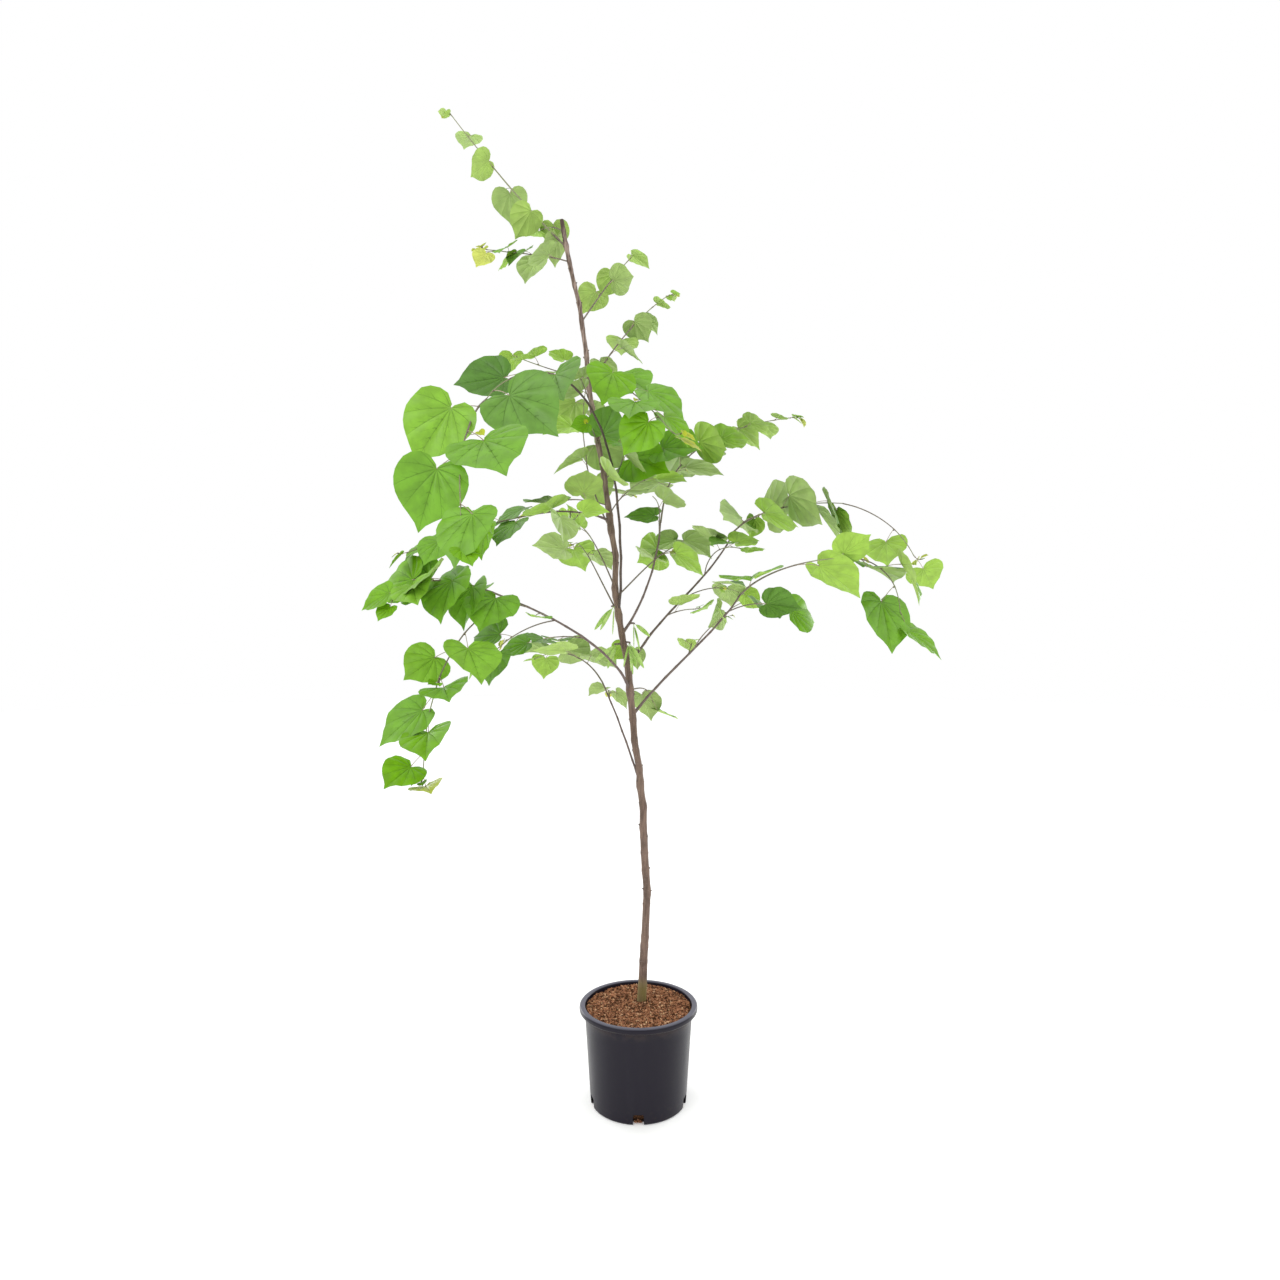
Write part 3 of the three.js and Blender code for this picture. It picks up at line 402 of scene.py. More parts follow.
def pierces(a, b, disc, spare):
    """Whether segments from a to b go through a disc that is wider by spare."""
    start, end = (a - disc.centre) @ disc.normal, (b - disc.centre) @ disc.normal
    flat = start == end
    t = np.where(flat, 0.5, start / np.where(flat, 1, start - end))[..., None]
    near = np.linalg.norm(a + (b - a) * t - disc.centre, axis=-1) < disc.radius + spare
    return (start * end <= 0) & near


def discs_cross(one, two):
    """Two discs cross where their planes' common line has a stretch inside both."""
    line = np.cross(one.normal, two.normal)
    if np.linalg.norm(line) < 1e-6:
        return False
    line = unit(line)
    across = np.cross(one.normal, line)
    height = (two.centre - one.centre) @ two.normal
    spot = one.centre + across * height / (across @ two.normal)
    middles, reach = [], 0
    for disc in (one, two):
        to = disc.centre - spot
        t = to @ line
        left = disc.radius**2 - ((to - t * line) ** 2).sum()
        if left <= 0:
            return False
        middles.append(t)
        reach += math.sqrt(left)
    return abs(middles[0] - middles[1]) < reach


def leaves_touch(one, two):
    """Whether leaves of different shoots come within CLEAR of each other."""
    far = np.linalg.norm(one.centre - two.centre) > 2 * (one.radius + two.radius) + CLEAR
    if far or one.shoot == two.shoot:
        return False
    return discs_cross(one, two) or any(
        to_disc(a.rim, b).min() < CLEAR or pierces(a.node, a.base, b, CLEAR)
        for a, b in ((one, two), (two, one))
    )


print("a leaf keeps", CLEAR, "mm clear")

# %% All the leaves
trunk_line = trunk_at(np.linspace(TRUNK_FOOT, TRUNK_TOP, 27))
lines = {"trunk": (trunk_line, trunk_girth(trunk_line[:, 2]))}
for limb in limbs.values():
    lines[limb.name] = (limb.line, limb.girth(np.linspace(0, 1, limb.steps + 1)))
starts = np.concatenate([line[:-1] for line, _ in lines.values()])
ends = np.concatenate([line[1:] for line, _ in lines.values()])
thick = np.concatenate([np.maximum(g[:-1], g[1:]) for _, g in lines.values()])
owners = np.concatenate([[name] * (len(line) - 1) for name, (line, _) in lines.items()])


def limb_near(leaf):
    """Whether a limb other than the leaf's own comes too near its blade or its stalk."""
    other = owners != leaf.shoot
    a, b, keep = starts[other], ends[other], thick[other] + CLEAR
    stalk = leaf.node + np.array([[0.35], [0.7], [1.0]]) * (leaf.base - leaf.node)
    return bool(
        pierces(a, b, leaf, keep).any()
        or (to_disc(a, leaf) < keep).any()
        or (to_disc(b, leaf) < keep).any()
        or (to_segments(leaf.rim, a, b) < keep).any()
        or (to_segments(stalk, a, b) < keep + 1).any()
    )


leaves = []


def grow(name):
    """The leaves of a shoot that have room are kept. Says how many."""
    had = len(leaves)
    for leaf in leaves_of(limbs[name], habits[name]):
        if not limb_near(leaf) and not any(leaves_touch(leaf, other) for other in leaves):
            leaves.append(leaf)
    return len(leaves) - had


for name in shoot_names:
    grow(name)
print(len(leaves), "leaves of", sum(habit.leaves for habit in habits.values()))

# %% [markdown]
# ## Young growth
#
# Every shoot is still growing at its tip, and short new twigs break from the buds beside some of
# its leaves. Both are small shoots that follow the same rule, with leaves a quarter the size.

# %% Sprigs
def sprig(leaf, tip):
    """A short shoot from a leaf's bud, or onward from the tip, with two or three young leaves."""
    parent, name = habits[leaf.shoot], f"{leaf.shoot}_{leaf.number}"
    large, opening, roll, reach, tilt, _ = leaf.draws
    hand = parent.first * (-1) ** leaf.number
    yaw = 12 * opening if tip else -hand * (46 + 18 * opening)
    length = (22 if tip else 34) * (1 + 0.4 * reach)
    limbs[name] = Limb(name, leaf.shoot, leaf.place, length, 1.0, 0.5, yaw, 10 * roll, tip=20 * tilt)
    habits[name] = parent._replace(
        name=name, leaves=3 if tip else 2, bare=0.45, up_to=1, small=0.5, first=-hand,
        size=max(17, (0.24 + 0.08 * large) * parent.size), droop=parent.droop * 0.6,
        seed=parent.seed + 31 * leaf.number + 7, greens=YOUNG_GREENS,
    )
    return name


for leaf in list(leaves):
    habit = habits[leaf.shoot]
    tip = leaf.number == habit.leaves - 1 and habit.up_to == 1
    if tip or (leaf.draws[5] >= 0.1 and habit.leaves >= 3):
        name = sprig(leaf, tip)
        if not grow(name):
            del limbs[name], habits[name]
print(len(habits) - len(shoot_names), "sprigs,", len(leaves), "leaves with the young ones")

# %% [markdown]
# ## From arrays to a mesh
#
# Every piece below is worked out as arrays of points. A tube is a ring of points carried along
# a line, and many tubes of one kind can be worked out at once. One function puts points and
# faces into a Blender mesh and turns millimetres into metres.

# %% Mesh makers
MM = 0.001


def piece(name, points, faces, finishes, kinds=None, sharp=None):
    """A mesh object from points in mm and lists of face arrays, each list with its finish."""
    mesh = bpy.data.meshes.new(name)
    loops = np.concatenate([f.ravel() for f in faces])
    sizes = np.concatenate([np.full(len(f), f.shape[1]) for f in faces])
    if kinds is None:
        kinds = np.concatenate([np.full(len(f), k) for k, f in enumerate(faces)])
    mesh.vertices.add(len(points))
    mesh.vertices.foreach_set("co", (points * MM).ravel())
    mesh.loops.add(len(loops))
    mesh.loops.foreach_set("vertex_index", loops)
    mesh.polygons.add(len(sizes))
    mesh.polygons.foreach_set("loop_start", np.concatenate([[0], np.cumsum(sizes)[:-1]]))
    mesh.polygons.foreach_set("material_index", kinds.astype(np.int32))
    mesh.polygons.foreach_set("use_smooth", np.ones(len(sizes), bool))
    mesh.update(calc_edges=True)
    mesh.validate()
    if sharp:
        mesh.set_sharp_from_angle(angle=math.radians(sharp))
    for finish in finishes:
        mesh.materials.append(finish.material)
    obj = bpy.data.objects.new(name, mesh)
    bpy.context.scene.collection.objects.link(obj)
    print(f"{name}: {len(points)} points, {int((sizes - 2).sum())} triangles")
    return obj


print("lengths in a mesh are in metres: 1 mm is", MM)

# %% Rings and tubes
def angles(count):
    """Even angles once round a circle."""
    return np.arange(count) * 2 * np.pi / count


def at_round(radius, angle, z):
    """Points by their distance from the Z axis, their angle round it and their height."""
    x, y = radius * np.cos(angle), radius * np.sin(angle)
    return np.stack(np.broadcast_arrays(x, y, z), axis=-1)


def ring_faces(rings, sides):
    """Quads round a tube of rings x sides points, ring after ring, facing outwards."""
    i, j = np.meshgrid(np.arange(rings - 1), np.arange(sides), indexing="ij")
    here, turn = i * sides + j, i * sides + (j + 1) % sides
    return np.stack([here, turn, turn + sides, here + sides], axis=-1).reshape(-1, 4)


def cap_faces(rings, sides):
    """A fan at each end of a tube. Its two poles are the points after the rings."""
    j = np.arange(sides)
    turn, pole = (j + 1) % sides, rings * sides
    start = np.stack([pole + 0 * j, turn, j], axis=-1)
    last = (rings - 1) * sides
    end = np.stack([pole + 1 + 0 * j, last + j, last + turn], axis=-1)
    return np.vstack([start, end])


def tubes(middles, girths, across, sides):
    """Tubes at once. middles is (tubes, rings, 3), girths (tubes, rings) or (tubes, rings, sides)
    and across a way that the tubes never run along. A ring's points are middle + girth times
    (side cos a + over sin a), and both ends run to a pole."""
    ways = np.gradient(middles, axis=1)
    side = unit(np.cross(ways, across))
    over = np.cross(unit(ways), side)
    a = angles(sides)
    if girths.ndim == 2:
        girths = girths[..., None]
    ring = side[:, :, None] * np.cos(a)[:, None] + over[:, :, None] * np.sin(a)[:, None]
    return with_poles(middles, middles[:, :, None] + girths[..., None] * ring)


def with_poles(middles, rings):
    """The rings' points, and after them the two ends of the middle line."""
    flat = rings.reshape(len(middles), -1, 3)
    return np.concatenate([flat, middles[:, :1], middles[:, -1:]], axis=1)


def repeated(faces, count, points_each):
    """The same faces for each of many copies."""
    shift = np.arange(count)[:, None, None] * points_each
    return (faces[None] + shift).reshape(-1, faces.shape[1])


def tube_piece(name, points, rings, sides, finish):
    """Many equal tubes, with points (tubes, points of one, 3), as one piece of one finish."""
    shapes = ring_faces(rings, sides), cap_faces(rings, sides)
    faces = [repeated(shape, *points.shape[:2]) for shape in shapes]
    return piece(name, points.reshape(-1, 3), faces, [finish, finish])


def smooth_line(points, spots):
    """A smooth curve through evenly spaced points (Catmull-Rom): each piece between two points
    leaves them along the line that joins their neighbours."""
    first, last = 2 * points[0] - points[1], 2 * points[-1] - points[-2]
    p = np.vstack([first, points, last])
    k = np.clip(spots, 0, 1) * (len(points) - 1)
    i = np.minimum(k.astype(int), len(points) - 2)
    t = (k - i)[:, None]
    a, b, c, d = p[i], p[i + 1], p[i + 2], p[i + 3]
    curve = 2 * b + (c - a) * t + (2 * a - 5 * b + 4 * c - d) * t**2
    return 0.5 * (curve + (3 * b - a - 3 * c + d) * t**3)


print("a square tube of three rings has", len(ring_faces(3, 4)), "sides")

# %% [markdown]
# ## Finishes as sums
#
# A finish is one Principled shader with a few nodes before it. Wires between nodes read like
# arithmetic here: `0.4 + wire * 0.1` adds its own Math nodes. What varies over a surface feeds
# only its colour, roughness or bump.

# %% Finish maker
class Wire:
    """An output of a node. Sums on it add Math nodes to its finish."""

    def __init__(self, finish, socket):
        self.finish, self.socket = finish, socket

    def math(self, operation, first, second):
        return self.finish.add("ShaderNodeMath", {"operation": operation}, {0: first, 1: second})

    def __add__(self, other):
        return self.math("ADD", self, other)

    __radd__ = __add__

    def __sub__(self, other):
        return self.math("SUBTRACT", self, other)

    def __rsub__(self, other):
        return self.math("SUBTRACT", other, self)

    def __mul__(self, other):
        return self.math("MULTIPLY", self, other)

    __rmul__ = __mul__

    def ramp(self, low, high):
        """0 below low, 1 above high, and a smooth step between."""
        settings = {"interpolation_type": "SMOOTHSTEP"}
        sockets = {"Value": self, "From Min": low, "From Max": high}
        return self.finish.add("ShaderNodeMapRange", settings, sockets)


class Finish:
    """A material with one Principled shader."""

    def __init__(self, name, colour, roughness, **more):
        self.material = bpy.data.materials.new(name)
        self.material.use_nodes = True
        self.tree = self.material.node_tree
        self.shader = self.tree.nodes["Principled BSDF"]
        self.set("Base Color", colour)
        self.set("Roughness", roughness)
        for socket, value in more.items():
            self.set(socket.replace("_", " "), value)
        self.material.diffuse_color = colour

    def plug(self, socket, value):
        """A wire is linked to a socket, and any other value is set on it."""
        if isinstance(value, Wire):
            self.tree.links.new(value.socket, socket)
        else:
            socket.default_value = value

    def set(self, socket, value):
        """The shader's own sockets, by name."""
        self.plug(self.shader.inputs[socket], value)

    def add(self, kind, settings=None, sockets=None, output=0):
        """A node of a kind: its settings first, then its sockets' values or wires."""
        node = self.tree.nodes.new(kind)
        for setting, value in (settings or {}).items():
            setattr(node, setting, value)
        for socket, value in (sockets or {}).items():
            self.plug(node.inputs[socket], value)
        return Wire(self, node.outputs[output])

    def place(self, stretch=(1, 1, 1)):
        """Object coordinates, in metres, stretched along each way."""
        spot = self.add("ShaderNodeTexCoord", output="Object")
        return self.add("ShaderNodeMapping", sockets={"Vector": spot, "Scale": stretch})

    def noise(self, scale, detail=2, stretch=(1, 1, 1)):
        """Soft noise between 0 and 1, with about scale waves a metre."""
        sockets = {"Vector": self.place(stretch), "Scale": scale, "Detail": detail}
        return self.add("ShaderNodeTexNoise", sockets=sockets)

    def height(self):
        """Height over the ground, in metres."""
        spot = self.add("ShaderNodeTexCoord", output="Object")
        return self.add("ShaderNodeSeparateXYZ", sockets={0: spot}, output="Z")

    def mixed(self, factor, a, b):
        """Colour a where the factor is 0, b where it is 1."""
        return self.add("ShaderNodeMix", {"data_type": "RGBA"}, {0: factor, 6: a, 7: b}, output=2)

    def bump(self, relief, distance, strength=1):
        """Dents that follow a relief, distance metres deep where it falls from 1 to 0."""
        sockets = {"Height": relief, "Distance": distance, "Strength": strength}
        self.set("Normal", self.add("ShaderNodeBump", sockets=sockets))

    def grained(self, grain, a, b, roughness, rougher, distance, strength=1, relief=None):
        """One grain from 0 to 1 takes the colour from a to b and adds up to rougher to the
        roughness. The bump follows it too, unless there is another relief."""
        self.set("Base Color", self.mixed(grain, a, b))
        self.set("Roughness", roughness + grain * rougher)
        self.bump(relief or grain, distance, strength)
        return self


def tone(red, green, blue):
    """A colour as a painter mixes it, 0 to 255, made linear for the shader."""
    c = np.array([red, green, blue]) / 255
    linear = np.where(c <= 0.04045, c / 12.92, ((c + 0.055) / 1.055) ** 2.4)
    return (*linear.tolist(), 1.0)


print("white is", tone(255, 255, 255))

# %% [markdown]
# ## Bark
#
# Young redbud bark is a thin grey-brown skin, a little lengthwise streaked, with pale pores
# that lie across the stem. Near the soil it goes olive with algae, and round the dry cut at the
# top it is nearly black. The pattern is stretched along Z for the streaks and squeezed for the
# pores.

# %% Bark finish
ALGAE, GREY, DRY = (0.240, 0.285), (1.1, 1.8), (2.018, 2.040)  # heights in metres


def bark_finish(name, light, dark, by_height=False):
    """Streaks and patches from light to dark, with pale pores. By height, it turns olive with
    algae below, greyer above and nearly black at the dry cut."""
    bark = Finish(name, dark, 0.8)
    streaks = bark.noise(260, 4, (1, 1, 0.12)).ramp(0.35, 0.65)
    patches = bark.noise(40, 3, (1, 1, 0.45)).ramp(0.35, 0.65)
    colour = bark.mixed(streaks * 0.45 + patches * 0.4, light, dark)
    pores = bark.noise(330, 1, (1, 1, 2.2)).ramp(0.66, 0.74)
    colour = bark.mixed(pores * 0.5, colour, tone(172, 156, 146))
    if by_height:
        grey = bark.mixed(streaks, tone(176, 156, 146), dark)
        colour = bark.mixed(bark.height().ramp(*GREY) * 0.6, colour, grey)
        algae = bark.noise(60, 3, (1, 1, 0.3)).ramp(0.35, 0.7) * 0.4 + 0.5
        colour = bark.mixed((1 - bark.height().ramp(*ALGAE)) * algae, colour, tone(124, 114, 54))
        colour = bark.mixed(bark.height().ramp(*DRY) * 0.85, colour, tone(66, 48, 42))
    bark.set("Base Color", colour)
    bark.set("Roughness", 0.86 - streaks * 0.12)
    bark.bump(streaks * 0.6 + pores * 0.8, 0.0006, 0.7)
    return bark


trunk_bark = bark_finish("trunk_bark", tone(129, 107, 94), tone(74, 57, 48), by_height=True)
bough_bark = bark_finish("bough_bark", tone(118, 102, 96), tone(86, 73, 68))
dark_bark = bark_finish("dark_bark", tone(92, 78, 71), tone(62, 52, 48))
cut_wood = Finish("cut_wood", tone(84, 66, 56), 0.9)
year_rings = cut_wood.noise(900, 3).ramp(0.3, 0.7)
cut_wood.set("Base Color", cut_wood.mixed(year_rings, tone(74, 58, 50), tone(122, 100, 84)))
cut_wood.bump(year_rings, 0.0004)
print("bark finishes:", trunk_bark.material.name, bough_bark.material.name)

# %% [markdown]
# ## Relief of the bark
#
# A stem is never a smooth cone. It swells at every old bud, and shallow ribs run along it. Both
# are added to the plain radius: bell curves at the nodes, and a few waves round and along the
# stem. Where the leader was nipped and a side bud took over, the whip has a knee of a few
# millimetres. These are accidents, so they are a short table of measured shifts. The bud that
# slept at each swelling is left as a small dark nub, on one side and then the other.

# %% Trunk
def ripple(angle, along, seed, ribs=7):
    """Lengthwise ribs: a sum of waves, each round the stem a whole number of times and slowly
    winding along it, with turns and strengths drawn from a seed."""
    k = np.arange(ribs)[:, None, None]
    winding = 0.015 + 0.03 * np.abs(swing(seed, k))
    strength = (0.6 + 0.4 * swing(seed, 40 + k)) / (1 + 0.35 * k)
    waves = (2 + k) * angle + winding * along[:, None] + np.pi * swing(seed, 20 + k)
    return (strength * np.sin(waves)).sum(axis=0)


def nodes_along(length, gap, seed):
    """Where old buds sit: every gap or so, shifted by a quarter of it at most."""
    spots = np.arange(gap * 0.6, length - gap * 0.3, gap)
    return spots + 0.25 * gap * swing(seed, np.arange(len(spots)))


def swellings(along, spots, width):
    """A bell curve at each spot."""
    return np.exp(-(((along[:, None] - spots) / width) ** 2)).sum(axis=1)


def zigzag(along, spots, step):
    """A sideways wander that swaps sides at each spot."""
    return np.interp(along, spots, step * (-1.0) ** np.arange(len(spots)))


KNEES = np.array([
    (216, 0), (350, 0), (476, 3.6), (530, 0.4), (632, -2.3), (680, 1.6), (728, -2.6), (770, -0.8),
    (836, -5.3), (1010, 1.0), (1118, -5.2), (1192, -5.2), (1268, 6.0), (1330, 3.0), (1454, 1.6),
    (1606, -5.6), (1660, -6.0), (1740, 0), (1850, 3.4), (1898, 0.6), (1994, -1.8), (2052, 0),
])


def knee(z):
    """The sideways shift at height z: straight pieces between the knees."""
    shift = np.interp(z, *KNEES.T)
    return np.stack([shift, 0 * shift, 0 * shift], axis=-1)


TRUNK_SIDES, TRUNK_RINGS = 32, 460
z = np.linspace(TRUNK_FOOT, TRUNK_TOP, TRUNK_RINGS)
old_nodes = TRUNK_FOOT + nodes_along(TRUNK_TOP - TRUNK_FOOT, 62, 3)
forks = np.array([limb.at for limb in limbs.values() if limb.on == "trunk"])
# The taper without most of its flare, with swellings at buds, knees and forks, times the ribs.
girth = trunk_girth(z) - 2.8 * np.exp(-(z - TRUNK_FOOT) / 44) + 0.8 * swellings(z, old_nodes, 5)
girth += 0.9 * swellings(z, KNEES[1:-1, 0], 7) + 1.0 * swellings(z, forks, 13)
girth = girth[:, None] * (1 + 0.022 * ripple(angles(TRUNK_SIDES), z, 5))
middle = trunk_at(z) + knee(z)
middle[:, 0] += zigzag(z, old_nodes, 0.5)
middle[:, 1] += zigzag(z, old_nodes + 20, 1.2)
trunk_mesh = piece(
    "trunk_with_bark", tubes(middle[None], girth[None], np.array([0.0, 1.0, 0.0]), TRUNK_SIDES)[0],
    [ring_faces(TRUNK_RINGS, TRUNK_SIDES), cap_faces(TRUNK_RINGS, TRUNK_SIDES)],
    [trunk_bark, cut_wood], sharp=60,
)

# %% Old buds
# A nub is a short tube that leans out and up and thins with the square of its length.
NUB_RINGS, NUB_SIDES = 5, 8
spots = np.sort(np.concatenate([old_nodes[2:], KNEES[2:-1, 0] + 5]))
k = np.arange(len(spots))
out = at_round(1, np.pi * (k % 2) + 0.9 * swing(41, k), 0)
t = np.linspace(0, 1, NUB_RINGS)
start = trunk_at(spots) + knee(spots) + out * (trunk_girth(spots) - 1.5)[:, None]
nub_middle = start[:, None] + (out * 0.8 + UP * 0.6)[:, None] * (5.0 * t)[:, None]
nub_girth = np.tile(2.3 - 1.5 * t**2, (len(spots), 1))
nub_points = tubes(nub_middle, nub_girth, np.cross(out, UP)[:, None], NUB_SIDES)
old_buds = tube_piece("old_buds", nub_points, NUB_RINGS, NUB_SIDES, dark_bark)
for thing in (trunk_mesh, old_buds):
    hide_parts("trunk")
    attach(thing, "root")

# %% [markdown]
# ## Boughs
#
# Each bough starts inside the trunk, so its collar grows out of the bark with no seam. It runs
# on the frame's line, made smooth, with a small zigzag from bud to bud as redbuds have. The one
# that arches over the top grew up in the shade of the trunk, and its bark is the darkest.

# %% Boughs
RING_GAP = 5


def rooted(limb, middle, along):
    """A limb's middle line, brought over to the trunk's knees at its root: the shift dies away
    with exp(-along / 40)."""
    if limb.on != "trunk":
        return middle
    return middle + knee(limb.at) * np.exp(-along / 40)[:, None]


def limb_tube(limb, sides, spots, wander, girth_of):
    """The points of one limb and how many rings it has: a ring every 5 mm on its smooth line,
    which wanders from spot to spot. girth_of gives its radius from the place u and the length
    along it."""
    rings = max(12, int(limb.length / RING_GAP))
    u = np.linspace(0, 1, rings)
    along = u * limb.length
    shift = zigzag(along, spots, wander) * np.minimum(1, along / 30)
    middle = rooted(limb, smooth_line(limb.line, u) + limb.side(u) * shift[:, None], along)
    across = np.cross(limb.side(0.5), limb.way(0.5))
    return tubes(middle[None], girth_of(u, along)[None], across, sides)[0], rings


def woody_tube(limb, sides, gap, swell, wander, seed, collar=0.0, ribs=0.0):
    """A limb of old wood, with swellings at its buds and a collar at its root. Its radius is the
    frame's to the power 0.75, so a thick bough slims down soon after its collar and a thin one
    stays as it is."""
    spots = nodes_along(limb.length, gap, seed)

    def girth_of(u, along):
        girth = limb.girth(u) ** 0.75 + swell * swellings(along, spots, 3.5)
        girth += collar * np.exp(-along / 12)
        return girth[:, None] * (1 + ribs * ripple(angles(sides), along, seed))

    return limb_tube(limb, sides, spots, wander, girth_of)


def joined(parts, sides):
    """Several tubes of different lengths as one set of points and faces."""
    points, faces, caps, shift = [], [], [], 0
    for body, rings in parts:
        points.append(body)
        faces.append(ring_faces(rings, sides) + shift)
        caps.append(cap_faces(rings, sides) + shift)
        shift += len(body)
    return np.vstack(points), np.vstack(faces), np.vstack(caps)


BOUGH_SIDES = 16
parts = [
    woody_tube(limbs[name], BOUGH_SIDES, 36, 0.45, 0.8, 11 + k, collar=2.6, ribs=0.03)
    for k, name in enumerate(bough_names)
]
points, sides, caps = joined(parts, BOUGH_SIDES)
is_dark = [name == "arch_bough" for name in bough_names]
ring_kind = np.repeat(is_dark, [(rings - 1) * BOUGH_SIDES for _, rings in parts])
cap_kind = np.repeat(is_dark, 2 * BOUGH_SIDES)
boughs = piece(
    "boughs_with_bark", points, [sides, caps], [bough_bark, dark_bark],
    kinds=np.concatenate([ring_kind, cap_kind]),
)
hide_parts(*bough_names)
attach(boughs, "root")

# %% [markdown]
# ## Twigs, buds and stalks
#
# This year's wood is thin, purplish brown where it has ripened and green at the tips, and it
# zigzags from leaf to leaf. A leaf stalk swells where it joins the twig and again under the
# blade, where it bends to turn the leaf to the light. A small dark bud sits above each stalk.

# %% Twig finishes
def twig_finish(name, light, dark, roughness):
    """Thin bark or stalk skin with fine streaks."""
    twig = Finish(name, light, roughness)
    streaks = twig.noise(420, 3, (1, 1, 0.5)).ramp(0.3, 0.7)
    return twig.grained(streaks, light, dark, roughness, 0.15, 0.0002, 0.6)


ripe_twig = twig_finish("ripe_twig", tone(130, 120, 104), tone(98, 88, 76), 0.6)
green_twig = twig_finish("green_twig", tone(140, 146, 104), tone(120, 120, 88), 0.5)
stalk_skin = twig_finish("stalk_skin", tone(170, 152, 134), tone(142, 134, 102), 0.5)
bud_scale = twig_finish("bud_scale", tone(86, 58, 50), tone(60, 40, 38), 0.6)
print("twig finishes are ready")

# %% Twigs
TWIG_SIDES, RIPE, RIPE_LEADER = 8, 0.62, 0.1


def twig_tube(limb):
    """A twig, a little slimmer than the frame's limb and swollen at each of its leaves."""
    spots = np.array([leaf.place for leaf in leaves if leaf.shoot == limb.name]) * limb.length

    def girth_of(u, along):
        return (0.95 - 0.2 * u) * limb.girth(u) + 0.45 * swellings(along, spots, 3.0)

    return limb_tube(limb, TWIG_SIDES, spots, 1.0, girth_of)


def is_ripe(name, rings):
    """Which of a twig's faces are ripe wood. The leader is green nearly from its foot."""
    ripe_to = RIPE_LEADER if name == "leader_spray" else RIPE
    return np.repeat(np.linspace(0, 1, rings)[:-1] < ripe_to, TWIG_SIDES)


parts = [twig_tube(limbs[name]) for name in habits]
ripe = np.concatenate([is_ripe(name, rings) for name, (_, rings) in zip(habits, parts)])
points, sides, caps = joined(parts, TWIG_SIDES)
twigs = piece(
    "twigs", points, [sides[ripe], sides[~ripe], caps], [ripe_twig, green_twig, green_twig]
)

# %% Stalks and buds
node, base, axis, normal, size = (
    np.array([getattr(leaf, part) for leaf in leaves])
    for part in ("node", "base", "axis", "normal", "size")
)
across = np.cross(normal, axis)
count = len(leaves)

# A stalk is a parabola from node to base, arched up a little, with a bell curve at each end.
STALK_SIDES, STALK_RINGS = 6, 12
s = np.linspace(0, 1, STALK_RINGS)
t = s[None, :, None]
reach = (base - node)[:, None]
crown = node[:, None] + 0.5 * reach + UP * 0.1 * np.linalg.norm(reach, axis=-1, keepdims=True)
arch = (1 - t) ** 2 * node[:, None] + 2 * t * (1 - t) * crown + t**2 * base[:, None]
girth = 0.75 + 0.65 * np.exp(-((s / 0.07) ** 2)) + 0.5 * np.exp(-(((1 - s) / 0.1) ** 2))
girth = girth * (0.55 + 0.45 * size / 100)[:, None]
stalk_points = tubes(arch, girth, np.cross(reach, UP), STALK_SIDES)
stalks = tube_piece("leaf_stalks", stalk_points, STALK_RINGS, STALK_SIDES, stalk_skin)

# A bud is a short spindle between its stalk and the twig: its radius is a power of a sine.
BUD_SIDES, BUD_RINGS = 6, 6
along_twig = np.array([limbs[leaf.shoot].way(leaf.place) for leaf in leaves])
out = unit(unit(base - node) + along_twig * 0.8)
t = np.linspace(0, 1, BUD_RINGS)
bud_middle = node[:, None] + out[:, None] * (1.2 + 4.2 * t)[:, None]
bud_girth = np.tile(0.25 + 1.15 * np.sin(np.pi * t**0.8) ** 0.8, (count, 1))
bud_points = tubes(bud_middle, bud_girth, across[:, None], BUD_SIDES)
buds = tube_piece("buds", bud_points, BUD_RINGS, BUD_SIDES, bud_scale)
for thing in (twigs, stalks, buds):
    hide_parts(*shoot_names)
    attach(thing, "root")

# %% [markdown]
# ## The leaf
#
# A redbud leaf is a broad heart, as wide as long, with a drawn-out drip tip. Nine main veins fan
# out from the stalk, the blade puckers up between them and its margin waves. The mesh fans out
# in the same way: columns run from the stalk to the outline along the curves of the veins, and
# rings cross them. Each main vein is a narrow pair of columns, sunk on the upper side and raised
# on the underside. Each leaf is a thin closed shell, so its two sides can have their own finish.

# %% Leaf outline
def bezier(a, b, c, d, t):
    """A cubic Bezier curve: the four corners weighted by the powers of t and 1 - t."""
    t = t[:, None]
    return a * (1 - t) ** 3 + 3 * b * t * (1 - t) ** 2 + 3 * c * t**2 * (1 - t) + d * t**3


LOBE = np.array([(0, 0), (-0.32, 0.1), (-0.2, 0.58), (0.25, 0.56)])
FLANK = np.array([(0.25, 0.56), (0.7, 0.54), (0.77, 0.08), (1, 0)])
half = np.vstack([
    bezier(*LOBE, np.linspace(0.05, 1, 40)),
    bezier(*FLANK, np.linspace(0, 1, 40))[1:],
])
outline = np.vstack([half * (1, -1), half[-2::-1]])
outline_angle = np.arctan2(outline[:, 1], outline[:, 0])
outline_reach = np.linalg.norm(outline, axis=1)


def margin(angle):
    """How far the outline lies from the stalk in a direction, in leaf lengths."""
    return np.interp(angle, outline_angle, outline_reach)


def leaning(start):
    """How much a vein that starts at an angle leans to the tip on its way: less for the lowest."""
    return 0.15 * np.clip((155 - np.abs(start)) / 60, 0, 1)


def fanned(start, part):
    """Leaf places x, y at a part of the way along curves that leave the stalk at angle start."""
    lean = leaning(start)
    reach = part * margin(np.radians(start * (1 - lean)))
    angle = np.radians(start * (1 - lean * part))
    return reach * np.cos(angle), reach * np.sin(angle)


x, y = fanned(np.array([0.0, 57.0, 128.0]), 1.0)
print("rim places:", np.stack([x, y], axis=-1).round(2).tolist())

# %% Leaf surface
MAIN = np.array([0, 27, 57, 92, 128, 170])
PUCKER, FLAT_MIDRIB = 0.042, 0.02


